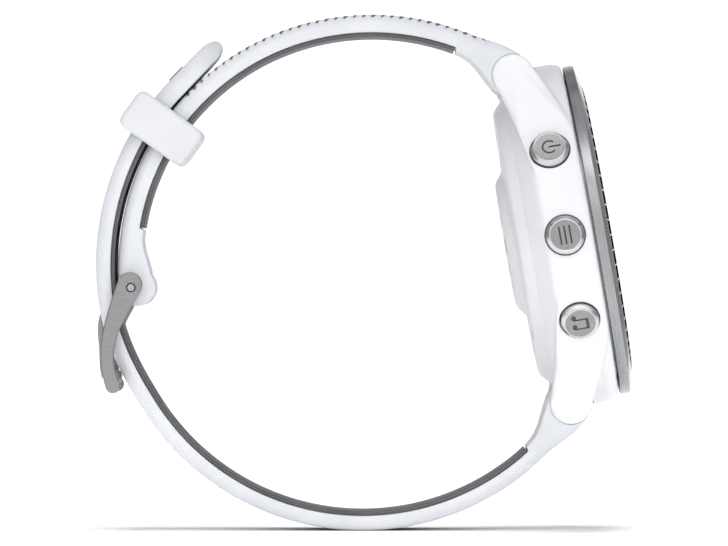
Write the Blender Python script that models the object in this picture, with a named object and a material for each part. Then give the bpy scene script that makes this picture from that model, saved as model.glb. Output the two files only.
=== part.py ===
"""GPS running watch, buckled and standing on the lower curve of its strap.

Lengths are millimetres, and make_object turns them into metres. World X runs from the buckle towards
the face, Y from 9 to 3 o'clock and Z up. The watch head has its own frame: x towards 3 o'clock,
y towards 12 o'clock and z out of the face, with its zero at the seam between case and bezel.
"""

import math

import bmesh
import bpy
from mathutils import Matrix, Vector

MM = 0.001
TINY = 0.0005
GAP = 0.3
ORIGIN_SHIFT_X = -0.47
LARGE_ROUND = 56
MEDIUM_ROUND = 36
SMALL_ROUND = 24
FINE_ROUND = 14
SHARP_ANGLE = math.radians(35)

# Watch head
HEAD_X = 32.38
HEAD_Z = 42.28
HEAD_TILT = math.radians(10)
CASE_R = 24.2
CASE_TOP = -0.3
CASE_WALL_TOP = -1.6
CASE_WALL_END = -6.8
CASE_BOTTOM = -9.2
CAVITY_R = 19.2
SEAT_R = 21.1
SEAT_Z = -1.9
BEZEL_R = 23.5
BEZEL_WALL = 1.4
BEZEL_LIP_R = 21.75
BEZEL_TOP = 2.0
GLASS_R = 21.0
GLASS_FLAT_R = 19.8
GLASS_TOP = 2.35
GLASS_BOTTOM = 1.1
BACK_R = 20.2
BACK_EDGE_Z = -9.5
BACK_FLAT_R = 18.75
BACK_Z = -10.9
BUMP_R = 10.6
BUMP_TOP_R = 8.8
BUMP_Z = -12.35
WINDOW_R = 6.3
SCREW_CIRCLE = 17.0
SCREW_DEGREES = (45, 135, 225, 315)
BOSS_R = 2.6
BOSS_BORE_R = 0.75
BOSS_START = -6.2
BOSS_END = -9.05
CONTACT_Y = -14.2
CONTACT_PITCH = 2.0

# Lugs and spring bars
PIN_A = -7.3
PIN_B = 23.4
LUG_TIP_R = 3.0
LUG_IN = 10.9
LUG_OUT = 14.2
LUG_TIP_DEGREES = (77, -121)
LUG_TOP_SIDE = [(9.0, -0.6), (14.0, -0.6), (17.0, -1.5)]
LUG_UNDERSIDE = [(15.0, -8.0), (9.0, -7.0)]
LUG_ROOT = (19.6, 14.0)
RECESS_R = 3.4
BAR_R = 0.75
BAR_TIP_R = 0.4
BAR_END = 12.4
BAR_SHOULDER = 10.5
BAR_BORE_END = 12.7

# Buttons
BUTTON_Z = -4.2
BUTTON_R = 2.7
BUTTON_FACE_R = 2.35
BUTTON_TOP = 25.1
BUTTON_ANGLES = {"light": 150, "menu": 180, "music": 210, "start": 30, "back": -30}

# Straps
STRAP_HALF = 10.0
SHOULDER_HALF = 14.0
SWELL_LENGTH = 8.5
SHOULDER_LENGTH = 11.0
PATH_STEP_DEG = 3.6
UPPER_MID = (0.0, 36.26)
UPPER_T = 3.15
UPPER_R = 35.35
UPPER_R_DEG = 66
UPPER_SHRINK = 0.0231
UPPER_JOIN_DEG = 68.0
UPPER_LAST_DEG = 181.0
UPPER_AT_PIN = (2.85, 3.2)
LOWER_MID = (0.0, 36.6)
LOWER_R = 35.25
LOWER_T = 2.7
LOWER_JOIN_TURN = 52.0
LOWER_LAST_TURN = 217.5
LOWER_AT_PIN = (3.0, 3.1)
RISE = 0.8
RISE_TURN = 148.0
RISE_SPAN = 24.0
SPREAD = 0.0144
SPREAD_TURN = 170.0
LINER_T = 0.5
LINER_START = 9.0
UPPER_LINER_END = 7.0
LOWER_LINER_END = 12.5
EDGE_DEPTH = 1.1
EDGE_SIDE = 0.9
TAIL_LENGTH = 13.3
TAIL_TRAVELS = (2.0, 4.0, 7.0, 9.5, 11.2, 12.3, 13.0, TAIL_LENGTH)
TAIL_HEADING = math.radians(46.5)
FAIR_SLOPE = 0.105
FAIR_LENGTH = 4.0
NOSE_LENGTH = 2.4
NOSE_SHARE = 0.85
TAPER_LENGTH = 9.0
TAPER_SHARE = 0.9
HOLE_PITCH = 6.8
HOLE_LONG = 5.2
HOLE_WIDE = 2.9
HOLE_CUT = 4.0
HOLES_BELOW = 3
HOLES_ABOVE = 4
TONGUE_HOLE_DEG = 188.2
BULB_CENTRE = (-31.8, 34.2)
BULB_R = 2.6
BULB_NECK = 6.0
BULB_OUT = 1.75
BULB_IN = 2.85
LEVER_Y = 7.4
LEVER_SLOT_Y = (4.6, 8.4)
LEVER_SLOT_DEPTH = (0.2, 4.5)
LEVER_SLOT_HALF = 0.8

# Buckle and keeper
BUCKLE_PIN = (-32.56, 34.21)
BUCKLE_PIN_R = 0.5
BUCKLE_BORE_R = 0.75
BUCKLE_BORE_END = 13.0
EYE_R = 1.75
ARM_IN = 10.6
ARM_OUT = 12.2
ARM_ROUTE = ((-32.75, 34.6), (-35.0, 29.6), (-37.1, 25.6), (-35.1, 20.4))
CROSS_BAR = (-35.2, 21.2)
CROSS_BAR_HALF = (1.0, 1.6)
CROSS_BAR_LEAN = 0.3
TONGUE_HALF = 1.05
TONGUE_ROUTE = (BUCKLE_PIN, (-36.0, 33.0), (-37.6, 30.6), (-36.85, 26.0))
TONGUE_TIP = [(-36.75, 23.0), (-36.6, 21.4)]
TONGUE_THICK = 0.45
TONGUE_EYE_R = 1.35
TONGUE_ROOM_R = 3.6
KEEPER_ANGLE = math.radians(144.3)
KEEPER_R = 34.87
KEEPER_RADIAL = 11.1
KEEPER_LENGTH = 5.9
KEEPER_HALF = 12.6
KEEPER_CORNER = 0.9
KEEPER_RIM = 0.7
KEEPER_WINDOW = (-3.25, 3.4)
KEEPER_SIDE_ROOM = 0.45


# ---------------------------------------------------------------- materials


def make_material(name, colour, roughness, metallic=0.0):
    material = bpy.data.materials.new(name)
    material.use_nodes = True
    shader = material.node_tree.nodes["Principled BSDF"]
    shader.inputs["Base Color"].default_value = (*colour, 1.0)
    shader.inputs["Roughness"].default_value = roughness
    shader.inputs["Metallic"].default_value = metallic
    material.diffuse_color = (*colour, 1.0)
    return material


# ---------------------------------------------------------------- shape helpers


def arc(centre, radius, start_deg, end_deg, steps):
    """Points from one angle to another on a circle."""
    points = []
    for i in range(steps + 1):
        angle = math.radians(start_deg + (end_deg - start_deg) * i / steps)
        points.append((centre[0] + radius * math.cos(angle), centre[1] + radius * math.sin(angle)))
    return points


def smoothstep(value):
    value = min(max(value, 0.0), 1.0)
    return value * value * (3 - 2 * value)


def bezier(ends, t):
    """The point at t on the cubic Bezier curve of four control points in a plane."""
    weights = ((1 - t) ** 3, 3 * t * (1 - t) ** 2, 3 * t * t * (1 - t), t**3)
    return tuple(sum(w * p[k] for w, p in zip(weights, ends)) for k in range(2))


def headings(points):
    """The unit direction of travel at each point of a plane path."""
    found = []
    for i in range(len(points)):
        before = points[max(i - 1, 0)]
        after = points[min(i + 1, len(points) - 1)]
        dx, dz = after[0] - before[0], after[1] - before[1]
        length = math.hypot(dx, dz)
        found.append((dx / length, dz / length))
    return found


def offset_outline(points, halves):
    """The closed outline of a bar that follows a path with a half width at each point."""
    left, right = [], []
    for (x, z), (dx, dz), half in zip(points, headings(points), halves):
        left.append((x - dz * half, z + dx * half))
        right.append((x + dz * half, z - dx * half))
    return left + right[::-1]


def prism(corners, push):
    """A flat outline of 3-D corners extruded along a vector."""
    bm = bmesh.new()
    face = bm.faces.new([bm.verts.new(corner) for corner in corners])
    made = bmesh.ops.extrude_face_region(bm, geom=[face])
    moved = [item for item in made["geom"] if isinstance(item, bmesh.types.BMVert)]
    bmesh.ops.translate(bm, verts=moved, vec=push)
    return bm


def side_prism(outline, low_y, high_y):
    """An outline in the X-Z plane extruded along Y."""
    return prism([(x, low_y, z) for x, z in outline], (0, high_y - low_y, 0))


def turned(profile, segments):
    """A profile of (radius, height) spun about z. A profile that starts and ends on the axis is open."""
    bm = bmesh.new()
    verts = [bm.verts.new((radius, 0, height)) for radius, height in profile]
    pairs = list(zip(verts, verts[1:]))
    if profile[0][0] > 0:
        pairs.append((verts[-1], verts[0]))
    edges = [bm.edges.new(pair) for pair in pairs]
    bmesh.ops.spin(
        bm, geom=verts + edges, cent=(0, 0, 0), axis=(0, 0, 1), angle=2 * math.pi, steps=segments
    )
    bmesh.ops.remove_doubles(bm, verts=bm.verts, dist=TINY)
    return bm


def drum(radius, low, high, segments):
    """A plain cylinder about z."""
    return turned([(0, low), (radius, low), (radius, high), (0, high)], segments)


def skinned(rings):
    """A closed skin through rings of the same number of points, with both ends capped."""
    bm = bmesh.new()
    rows = [[bm.verts.new(point) for point in ring] for ring in rings]
    count = len(rows[0])
    for row, after in zip(rows, rows[1:]):
        for i in range(count):
            j = (i + 1) % count
            bm.faces.new((row[i], row[j], after[j], after[i]))
    bm.faces.new(rows[0][::-1])
    bm.faces.new(rows[-1])
    return bm


def block(size, centre, bevel=0.0):
    """A box, with its edges rounded when a bevel is given."""
    bm = bmesh.new()
    bmesh.ops.create_cube(bm, size=1)
    bmesh.ops.scale(bm, vec=size, verts=bm.verts)
    bmesh.ops.translate(bm, vec=centre, verts=bm.verts)
    if bevel:
        bmesh.ops.bevel(bm, geom=bm.edges[:], offset=bevel, segments=1, affect="EDGES")
    return bm


def make_object(name, bm, material, parent, origin=(0.0, 0.0, 0.0), placing=None):
    """Turns a millimetre mesh into an object under its parent, with its origin at a given point."""
    bmesh.ops.recalc_face_normals(bm, faces=bm.faces)
    bm.transform(Matrix.Scale(MM, 4) @ Matrix.Translation(-Vector(origin)))
    mesh = bpy.data.meshes.new(name)
    bm.to_mesh(mesh)
    bm.free()
    mesh.shade_smooth()
    mesh.set_sharp_from_angle(angle=SHARP_ANGLE)
    made = bpy.data.objects.new(name, mesh)
    bpy.context.scene.collection.objects.link(made)
    made.parent = parent
    if placing is None:
        made.location = Vector(origin) * MM
    else:
        made.location = placing.to_translation() * MM
        made.rotation_euler = placing.to_euler()
    if material:
        made.data.materials.append(material)
    return made


def apply_boolean(target, name, bm, operation, parent, placing=None):
    """Adds an exact Boolean with a hidden helper object."""
    helper = make_object(f"{target.name}_{name}", bm, None, parent, placing=placing)
    helper.hide_render = True
    helper.display_type = "WIRE"
    boolean = target.modifiers.new(name, "BOOLEAN")
    boolean.operation = operation
    boolean.solver = "EXACT"
    boolean.object = helper


def make_empty(name, location, rotation, parent):
    empty = bpy.data.objects.new(name, None)
    bpy.context.scene.collection.objects.link(empty)
    empty.location = Vector(location) * MM
    empty.rotation_euler = rotation
    empty.parent = parent
    return empty


# ---------------------------------------------------------------- watch head


def head_point(a, b):
    """World x and z of a point given along the face normal (a) and towards 12 o'clock (b)."""
    cos, sin = math.cos(HEAD_TILT), math.sin(HEAD_TILT)
    return (HEAD_X + a * cos - b * sin, HEAD_Z + a * sin + b * cos)


def head_rotation():
    """Columns are the head's x, y and z directions in the world."""
    cos, sin = math.cos(HEAD_TILT), math.sin(HEAD_TILT)
    return Matrix(((0, -sin, cos), (1, 0, 0), (0, cos, sin))).to_euler()


def radial_placing(angle_deg):
    """Puts a piece turned about its own z on a radial line of the head at the buttons' height."""
    angle = math.radians(angle_deg)
    outward = Vector((math.cos(angle), math.sin(angle), 0))
    across = Vector((math.sin(angle), -math.cos(angle), 0))
    up = Vector((0, 0, 1))
    turn = Matrix((up, across, outward)).transposed().to_4x4()
    return Matrix.Translation((0, 0, BUTTON_Z)) @ turn


def lug_blank(side, end):
    """One lug: its side outline pushed through the lug's width, then trimmed by its slanted outer face."""
    tip = arc((PIN_B, PIN_A), LUG_TIP_R, *LUG_TIP_DEGREES, 12)
    outline = LUG_TOP_SIDE + tip + LUG_UNDERSIDE
    corners = [(side * LUG_IN, end * y, z) for y, z in outline]
    bm = prism(corners, (side * (CASE_R - LUG_IN), 0, 0))
    inner_point = Vector((side * LUG_OUT, end * PIN_B, 0))
    slant = Vector((side * (PIN_B - LUG_ROOT[1]), end * (LUG_ROOT[0] - LUG_OUT), 0))
    bmesh.ops.bisect_plane(
        bm, geom=bm.verts[:] + bm.edges[:] + bm.faces[:], dist=TINY,
        plane_co=inner_point, plane_no=slant, clear_outer=True,
    )
    bmesh.ops.holes_fill(bm, edges=bm.edges[:])
    return bm


def bar_placing(end):
    """Turns a piece's z axis along the spring bar at 12 o'clock (end 1) or 6 o'clock (end -1)."""
    return Matrix.Translation((0, end * PIN_B, PIN_A)) @ Matrix.Rotation(math.pi / 2, 4, "Y")


def screw_placings():
    """The four screw positions round the head, between the lugs and the buttons."""
    outward = Matrix.Translation((SCREW_CIRCLE, 0, 0))
    return [Matrix.Rotation(math.radians(degrees), 4, "Z") @ outward for degrees in SCREW_DEGREES]


def make_case(head, material):
    shell = [
        (0, CASE_TOP), (23.7, CASE_TOP), (CASE_R, CASE_WALL_TOP), (CASE_R, CASE_WALL_END),
        (20.6, CASE_BOTTOM), (0, CASE_BOTTOM),
    ]
    cavity = [
        (0, 0.5), (SEAT_R, 0.5), (SEAT_R, SEAT_Z), (CAVITY_R, SEAT_Z), (CAVITY_R, -10.0), (0, -10.0),
    ]
    case = make_object("case_middle", turned(shell, LARGE_ROUND), material, head)
    for end in (1, -1):
        for side in (1, -1):
            name = f"lug_{'12' if end > 0 else '6'}_{'right' if side > 0 else 'left'}"
            apply_boolean(case, name, lug_blank(side, end), "UNION", head)
    apply_boolean(case, "cavity", turned(cavity, LARGE_ROUND), "DIFFERENCE", head)
    boss = [
        (BOSS_BORE_R, BOSS_START), (BOSS_R, BOSS_START), (BOSS_R, BOSS_END), (BOSS_BORE_R, BOSS_END),
    ]
    for i, placing in enumerate(screw_placings()):
        apply_boolean(case, f"boss_{i + 1}", turned(boss, FINE_ROUND), "UNION", head, placing)
    for end in (1, -1):
        placing = bar_placing(end)
        hub_room = drum(RECESS_R, -LUG_IN - 0.02, LUG_IN + 0.02, 28)
        apply_boolean(case, f"recess_{end + 2}", hub_room, "DIFFERENCE", head, placing)
        tip_room = drum(BAR_TIP_R + 0.2, -BAR_BORE_END, BAR_BORE_END, 10)
        apply_boolean(case, f"bar_bore_{end + 2}", tip_room, "DIFFERENCE", head, placing)
    room = [
        (0, 18.2), (1.75, 18.2), (1.75, 20.6), (1.15, 20.6), (1.15, 22.5),
        (BUTTON_R + 0.2, 22.5), (BUTTON_R + 0.2, 26.5), (0, 26.5),
    ]
    for name, angle in BUTTON_ANGLES.items():
        apply_boolean(case, f"bore_{name}", turned(room, 20), "DIFFERENCE", head, radial_placing(angle))
    return case


def make_bezel(head, metal, rubber, glass, dark):
    bezel = [
        (BEZEL_R, 0.0), (BEZEL_R, BEZEL_WALL), (BEZEL_LIP_R, BEZEL_TOP), (GLASS_R + GAP, BEZEL_TOP),
        (GLASS_R + GAP, 0.8), (19.2, 0.8), (19.2, -1.0), (SEAT_R - GAP, -1.0), (SEAT_R - GAP, 0.0),
    ]
    make_object("bezel", turned(bezel, LARGE_ROUND), metal, head)
    gasket = [(19.5, -1.75), (20.8, -1.75), (20.8, -1.25), (19.5, -1.25)]
    make_object("bezel_gasket", turned(gasket, MEDIUM_ROUND), rubber, head)
    lens = [(0, GLASS_TOP), (GLASS_FLAT_R, GLASS_TOP), (GLASS_R, BEZEL_TOP), (GLASS_R, GLASS_BOTTOM)]
    make_object("glass", turned(lens + [(0, GLASS_BOTTOM)], LARGE_ROUND), glass, head)
    make_object("display_module", drum(18.8, -0.7, 0.75, MEDIUM_ROUND), dark, head)


def make_back(head, plastic, dark, metal):
    cover = [
        (BACK_R, BACK_EDGE_Z), (BACK_FLAT_R, BACK_Z), (BUMP_R, BACK_Z), (BUMP_TOP_R, BUMP_Z),
        (WINDOW_R + GAP, BUMP_Z), (WINDOW_R + GAP, -11.4), (8.0, -11.4), (8.0, -9.2),
        (18.8, -9.2), (18.8, BACK_EDGE_Z),
    ]
    back = make_object("back_cover", turned(cover, 48), plastic, head)
    screw_room = [(0, -8.0), (0.9, -8.0), (0.9, -10.1), (1.5, -10.1), (1.5, -12.0), (0, -12.0)]
    screw = [
        (0, -7.0), (0.5, -7.0), (0.5, -10.25), (1.25, -10.25), (1.25, -10.85),
        (0.55, -10.85), (0.55, -10.55), (0, -10.55),
    ]
    for i, placing in enumerate(screw_placings()):
        opening = turned(screw_room, FINE_ROUND)
        apply_boolean(back, f"screw_room_{i + 1}", opening, "DIFFERENCE", head, placing)
        make_object(f"back_screw_{i + 1}", turned(screw, FINE_ROUND), metal, head, placing=placing)
    port = block((8.2, 3.4, 2.0), (0, CONTACT_Y, BACK_Z))
    apply_boolean(back, "charging_recess", port, "DIFFERENCE", head)
    for i in range(4):
        placing = Matrix.Translation((CONTACT_PITCH * (i - 1.5), CONTACT_Y, 0))
        pad = turned([(0, -10.15), (0.6, -10.15), (0.6, -10.7), (0.45, -10.85), (0, -10.85)], 12)
        make_object(f"charging_contact_{i + 1}", pad, metal, head, placing=placing)
    window = [(0, -11.4), (WINDOW_R, -11.4), (WINDOW_R, -12.2), (WINDOW_R - 0.3, BUMP_Z), (0, BUMP_Z)]
    make_object("sensor_window", turned(window, MEDIUM_ROUND), dark, head)


def make_electronics(head, board, dark, metal, foil):
    make_object("sensor_board", drum(7.6, -11.1, -10.3, SMALL_ROUND), board, head)
    make_object("main_board", drum(17.8, -2.9, -2.1, MEDIUM_ROUND), board, head)
    battery = [(0, -8.8), (13.4, -8.8), (13.9, -8.3), (13.9, -6.3), (13.4, -5.8), (0, -5.8)]
    make_object("battery", turned(battery, MEDIUM_ROUND), foil, head)
    motor = turned([(0, -5.5), (3.9, -5.5), (4.2, -5.2), (4.2, -3.2), (0, -3.2)], SMALL_ROUND)
    make_object("vibration_motor", motor, metal, head, placing=Matrix.Translation((6.5, 7.0, 0)))
    beeper = turned([(0, -4.6), (5.5, -4.6), (5.5, -4.2), (4.5, -3.2), (0, -3.2)], SMALL_ROUND)
    make_object("beeper", beeper, metal, head, placing=Matrix.Translation((-4.0, -7.5, 0)))
    ring = [(17.9, -1.8), (18.9, -1.8), (18.9, -1.0), (17.9, -1.0)]
    make_object("gps_antenna", turned(ring, MEDIUM_ROUND), dark, head)


def make_buttons(head, metal, rubber, dark):
    cap = [
        (0, 18.9), (0.85, 18.9), (0.85, 23.2), (BUTTON_R, 23.2), (BUTTON_R, BUTTON_TOP - 0.35),
        (BUTTON_FACE_R, BUTTON_TOP), (0, BUTTON_TOP),
    ]
    for name, angle in BUTTON_ANGLES.items():
        placing = radial_placing(angle)
        make_object(f"button_{name}", turned(cap, SMALL_ROUND), metal, head, placing=placing)
        seal = turned(arc((1.35, 20.1), 0.22, 0, 300, 5), FINE_ROUND)
        make_object(f"button_seal_{name}", seal, rubber, head, placing=placing)
        switch = block((2.6, 2.8, 1.0), (0, 0, 17.65), 0.25)
        make_object(f"button_switch_{name}", switch, dark, head, placing=placing)


def make_spring_bars(head, metal):
    profile = [
        (0, -BAR_END), (BAR_TIP_R, -BAR_END), (BAR_TIP_R, -BAR_SHOULDER), (BAR_R, -BAR_SHOULDER),
        (BAR_R, BAR_SHOULDER), (BAR_TIP_R, BAR_SHOULDER), (BAR_TIP_R, BAR_END), (0, BAR_END),
    ]
    for name, end in (("upper", 1), ("lower", -1)):
        bar = turned(profile, FINE_ROUND)
        make_object(f"spring_bar_{name}", bar, metal, head, placing=bar_placing(end))


# ---------------------------------------------------------------- strap paths


UPPER_PIN = head_point(PIN_A, PIN_B)
LOWER_PIN = head_point(PIN_A, -PIN_B)


def polar(centre, radius, degrees):
    angle = math.radians(degrees)
    return (centre[0] + radius * math.cos(angle), centre[1] + radius * math.sin(angle))


def polar_of(centre, point):
    dx, dz = point[0] - centre[0], point[1] - centre[1]
    return math.hypot(dx, dz), math.degrees(math.atan2(dz, dx))


def upper_spiral(degrees):
    """Radius of the short strap's middle: a slow spiral from the lug to the buckle pin."""
    return UPPER_R - UPPER_SHRINK * (degrees - UPPER_R_DEG)


def upper_path():
    """The short strap's middle, from the upper spring bar to the buckle."""
    pin_radius, pin_angle = polar_of(UPPER_MID, UPPER_PIN)
    drop = upper_spiral(pin_angle) - pin_radius
    count = round((UPPER_LAST_DEG - pin_angle) / PATH_STEP_DEG)
    points = []
    for i in range(count + 1):
        degrees = pin_angle + (UPPER_LAST_DEG - pin_angle) * i / count
        lead = max(0.0, (UPPER_JOIN_DEG - degrees) / (UPPER_JOIN_DEG - pin_angle))
        points.append(polar(UPPER_MID, upper_spiral(degrees) - drop * lead**2, degrees))
    return points


def lower_radius(turn, pin_turn, drop):
    """Radius of the long strap's middle: level under the wrist, then out over the short strap."""
    lead = max(0.0, (LOWER_JOIN_TURN - turn) / (LOWER_JOIN_TURN - pin_turn))
    rise = RISE * smoothstep((turn - RISE_TURN) / RISE_SPAN)
    spread = SPREAD * max(0.0, turn - SPREAD_TURN)
    return LOWER_R - drop * lead**2 + rise + spread


def tail_fairing(travel):
    """How far the tail stands off a straight line, so that it leaves the curve without a corner."""
    reach = min(travel, FAIR_LENGTH)
    return FAIR_SLOPE * (reach - reach**2 / (2 * FAIR_LENGTH))


def lower_path():
    """The long strap's middle, from the lower spring bar clockwise through the keeper to its tip."""
    pin_radius, pin_angle = polar_of(LOWER_MID, LOWER_PIN)
    pin_turn = -pin_angle
    drop = LOWER_R - pin_radius
    count = round((LOWER_LAST_TURN - pin_turn) / PATH_STEP_DEG)
    points = []
    for i in range(count + 1):
        turn = pin_turn + (LOWER_LAST_TURN - pin_turn) * i / count
        points.append(polar(LOWER_MID, lower_radius(turn, pin_turn, drop), -turn))
    start = points[-1]
    along = (math.cos(TAIL_HEADING), math.sin(TAIL_HEADING))
    for travel in TAIL_TRAVELS:
        fairing = tail_fairing(travel)
        points.append((
            start[0] + along[0] * travel - along[1] * fairing,
            start[1] + along[1] * travel + along[0] * fairing,
        ))
    return points


def distances(points):
    """Length travelled along a path at each of its points."""
    total = [0.0]
    for before, after in zip(points, points[1:]):
        total.append(total[-1] + math.dist(before, after))
    return total


def lug_swell(travel, length=SWELL_LENGTH):
    """1 at the spring bar, falling to 0 where the strap reaches its plain section."""
    return 0.5 + 0.5 * math.cos(math.pi * min(travel / length, 1.0))


def strap_ring(point, heading, outward, half, top, bottom):
    """One cross-section of a strap: flat inside, with its two outer edges bevelled."""
    x, z = point
    nx, nz = -heading[1] * outward, heading[0] * outward
    depth = min(EDGE_DEPTH, 0.6 * (top + bottom))
    side = min(EDGE_SIDE, 0.5 * half)
    corners = [
        (-half, -bottom), (half, -bottom), (half, top - depth),
        (half - side, top), (side - half, top), (-half, top - depth),
    ]
    return [(x + nx * n, y, z + nz * n) for y, n in corners]


def strap_halves(travel, total, thickness, at_pin, liner, tail):
    """Half width, outer and inner half thickness of a strap at a length along it."""
    swell = lug_swell(travel)
    half = STRAP_HALF + (SHOULDER_HALF - STRAP_HALF) * lug_swell(travel, SHOULDER_LENGTH)
    top = thickness / 2 + (at_pin[0] - thickness / 2) * swell
    bottom = thickness / 2 + (at_pin[1] - thickness / 2) * swell
    if liner[0] <= travel <= liner[1]:
        bottom = thickness / 2 - LINER_T - GAP
    if not tail:
        flare = smoothstep(1 - (total - travel) / BULB_NECK)
        top += (BULB_OUT - top) * flare
        bottom += (BULB_IN - bottom) * flare
    if tail:
        nose = max(0.0, 1 - (total - travel) / NOSE_LENGTH)
        taper = max(0.0, 1 - (total - travel) / TAPER_LENGTH)
        half *= math.sqrt(1 - TAPER_SHARE * taper**2)
        top *= math.sqrt(1 - NOSE_SHARE * nose**2)
        bottom *= math.sqrt(1 - NOSE_SHARE * nose**2)
    return half, top, bottom


def strap_body(points, outward, thickness, at_pin, liner, tail):
    """The white strap, with a step in its inner side where the liner lies."""
    travels = distances(points)
    total = travels[-1]
    rings = []
    for point, heading, travel in zip(points, headings(points), travels):
        sizes = strap_halves(travel, total, thickness, at_pin, liner, tail)
        rings.append(strap_ring(point, heading, outward, *sizes))
    return skinned(rings)


def liner_body(points, outward, thickness, liner, tail):
    """The thin grey inner layer, between two lengths along the strap."""
    travels = distances(points)
    plain = (thickness / 2, thickness / 2)
    rings = []
    for (x, z), heading, travel in zip(points, headings(points), travels):
        if not liner[0] + GAP <= travel <= liner[1] - GAP:
            continue
        half = strap_halves(travel, travels[-1], thickness, plain, (0, 0), tail)[0]
        nx, nz = -heading[1] * outward, heading[0] * outward
        low, high = -thickness / 2, LINER_T - thickness / 2
        rings.append([
            (x + nx * n, y, z + nz * n)
            for y, n in ((-half, low), (half, low), (half, high), (-half, high))
        ])
    return skinned(rings)


def plane_drum(centre, radius, low_y, high_y, segments):
    """A cylinder along Y."""
    return side_prism(arc(centre, radius, 0, 360 - 360 / segments, segments - 1), low_y, high_y)


def finish_lug_end(strap, pin, parent):
    """The hub between the lugs, the two cups round the lug tips, and the bore for the spring bar."""
    hub_half = LUG_IN - GAP
    hub = plane_drum(pin, LUG_TIP_R, -hub_half, hub_half, 24)
    apply_boolean(strap, "hub", hub, "UNION", parent)
    for name, side in (("right", 1), ("left", -1)):
        low, high = sorted((side * hub_half, side * (SHOULDER_HALF + 2)))
        cup = plane_drum(pin, RECESS_R - 0.05, low, high, 24)
        apply_boolean(strap, f"cup_{name}", cup, "DIFFERENCE", parent)
    bore = plane_drum(pin, BAR_R + 0.25, -SHOULDER_HALF, SHOULDER_HALF, FINE_ROUND)
    apply_boolean(strap, "bar_bore", bore, "DIFFERENCE", parent)


def lever_slot(strap, pin, inward, parent):
    """A slot on the wrist side of the hub, in which the quick-release lever slides."""
    across = (-inward[1], inward[0])
    near, far = LEVER_SLOT_DEPTH
    half = LEVER_SLOT_HALF
    outline = [
        (pin[0] + inward[0] * depth + across[0] * side, pin[1] + inward[1] * depth + across[1] * side)
        for depth, side in ((near, -half), (far, -half), (far, half), (near, half))
    ]
    apply_boolean(strap, "lever_slot", side_prism(outline, *LEVER_SLOT_Y), "DIFFERENCE", parent)


def make_lever(name, pin, inward, metal, frame):
    """The quick-release lever: a short stud square to the spring bar, near its 3 o'clock end."""
    across = (-inward[1], inward[0])
    sections = ((0.95, 0.45), (2.4, 0.45), (2.4, 0.6), (3.0, 0.6))
    rings = []
    for depth, radius in sections:
        ring = []
        for i in range(12):
            angle = 2 * math.pi * i / 12
            side, along = radius * math.cos(angle), radius * math.sin(angle)
            ring.append((
                pin[0] + inward[0] * depth + across[0] * side,
                LEVER_Y + along,
                pin[1] + inward[1] * depth + across[1] * side,
            ))
        rings.append(ring)
    make_object(name, skinned(rings), metal, frame, origin=(pin[0], LEVER_Y, pin[1]))


def inward_direction(points, outward):
    """From the spring bar to the wrist side, square to the strap."""
    dx, dz = headings(points)[0]
    return (dz * outward, -dx * outward)


def make_upper_strap(frame, white, grey, metal):
    points = upper_path()
    travels = distances(points)
    liner = (LINER_START, travels[-1] - UPPER_LINER_END)
    pivot = (UPPER_PIN[0], 0.0, UPPER_PIN[1])
    body = strap_body(points, -1, UPPER_T, UPPER_AT_PIN, liner, False)
    strap = make_object("upper_strap", body, white, frame, origin=pivot)
    finish_lug_end(strap, UPPER_PIN, frame)
    inward = inward_direction(points, -1)
    lever_slot(strap, UPPER_PIN, inward, frame)
    make_lever("quick_release_upper", UPPER_PIN, inward, metal, frame)
    bulb = plane_drum(BULB_CENTRE, BULB_R, -STRAP_HALF, STRAP_HALF, 28)
    apply_boolean(strap, "buckle_end", bulb, "UNION", frame)
    slot = plane_drum(BUCKLE_PIN, TONGUE_ROOM_R, -TONGUE_HALF - GAP, TONGUE_HALF + GAP, 28)
    apply_boolean(strap, "tongue_slot", slot, "DIFFERENCE", frame)
    bore = plane_drum(BUCKLE_PIN, BUCKLE_BORE_R, -BUCKLE_BORE_END, BUCKLE_BORE_END, FINE_ROUND)
    apply_boolean(strap, "pin_bore", bore, "DIFFERENCE", frame)
    inner = liner_body(points, -1, UPPER_T, liner, False)
    make_object("upper_liner", inner, grey, frame, origin=pivot)


def hole_outlines(points, outward):
    """Oval outlines of the tongue holes, square to the strap, at even steps from the one in use."""
    travels = distances(points)
    dirs = headings(points)
    turns = [polar_of(LOWER_MID, point)[1] % 360 for point in points]
    i = max(j for j in range(len(points)) if turns[j] >= TONGUE_HOLE_DEG)
    part_way = (turns[i] - TONGUE_HOLE_DEG) / (turns[i] - turns[i + 1])
    in_use = travels[i] + (travels[i + 1] - travels[i]) * part_way
    outlines = []
    for k in range(-HOLES_BELOW, HOLES_ABOVE + 1):
        target = in_use + HOLE_PITCH * k
        i = max(j for j in range(len(points)) if travels[j] <= target)
        share = (target - travels[i]) / (travels[i + 1] - travels[i])
        x = points[i][0] + (points[i + 1][0] - points[i][0]) * share
        z = points[i][1] + (points[i + 1][1] - points[i][1]) * share
        outlines.append(((x, z), dirs[i], (-dirs[i][1] * outward, dirs[i][0] * outward)))
    return outlines


def hole_cutter(points, outward):
    """All the tongue holes as one cutter of separate oval posts."""
    straight = (HOLE_LONG - HOLE_WIDE) / 2
    whole = bmesh.new()
    for (x, z), along, normal in hole_outlines(points, outward):
        oval = arc((straight, 0), HOLE_WIDE / 2, -90, 90, 6)
        oval += arc((-straight, 0), HOLE_WIDE / 2, 90, 270, 6)
        base_x, base_z = x - normal[0] * HOLE_CUT, z - normal[1] * HOLE_CUT
        corners = [(base_x + along[0] * u, v, base_z + along[1] * u) for u, v in oval]
        face = whole.faces.new([whole.verts.new(corner) for corner in corners])
        made = bmesh.ops.extrude_face_region(whole, geom=[face])
        moved = [item for item in made["geom"] if isinstance(item, bmesh.types.BMVert)]
        push = (2 * HOLE_CUT * normal[0], 0, 2 * HOLE_CUT * normal[1])
        bmesh.ops.translate(whole, verts=moved, vec=push)
    return whole


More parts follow.
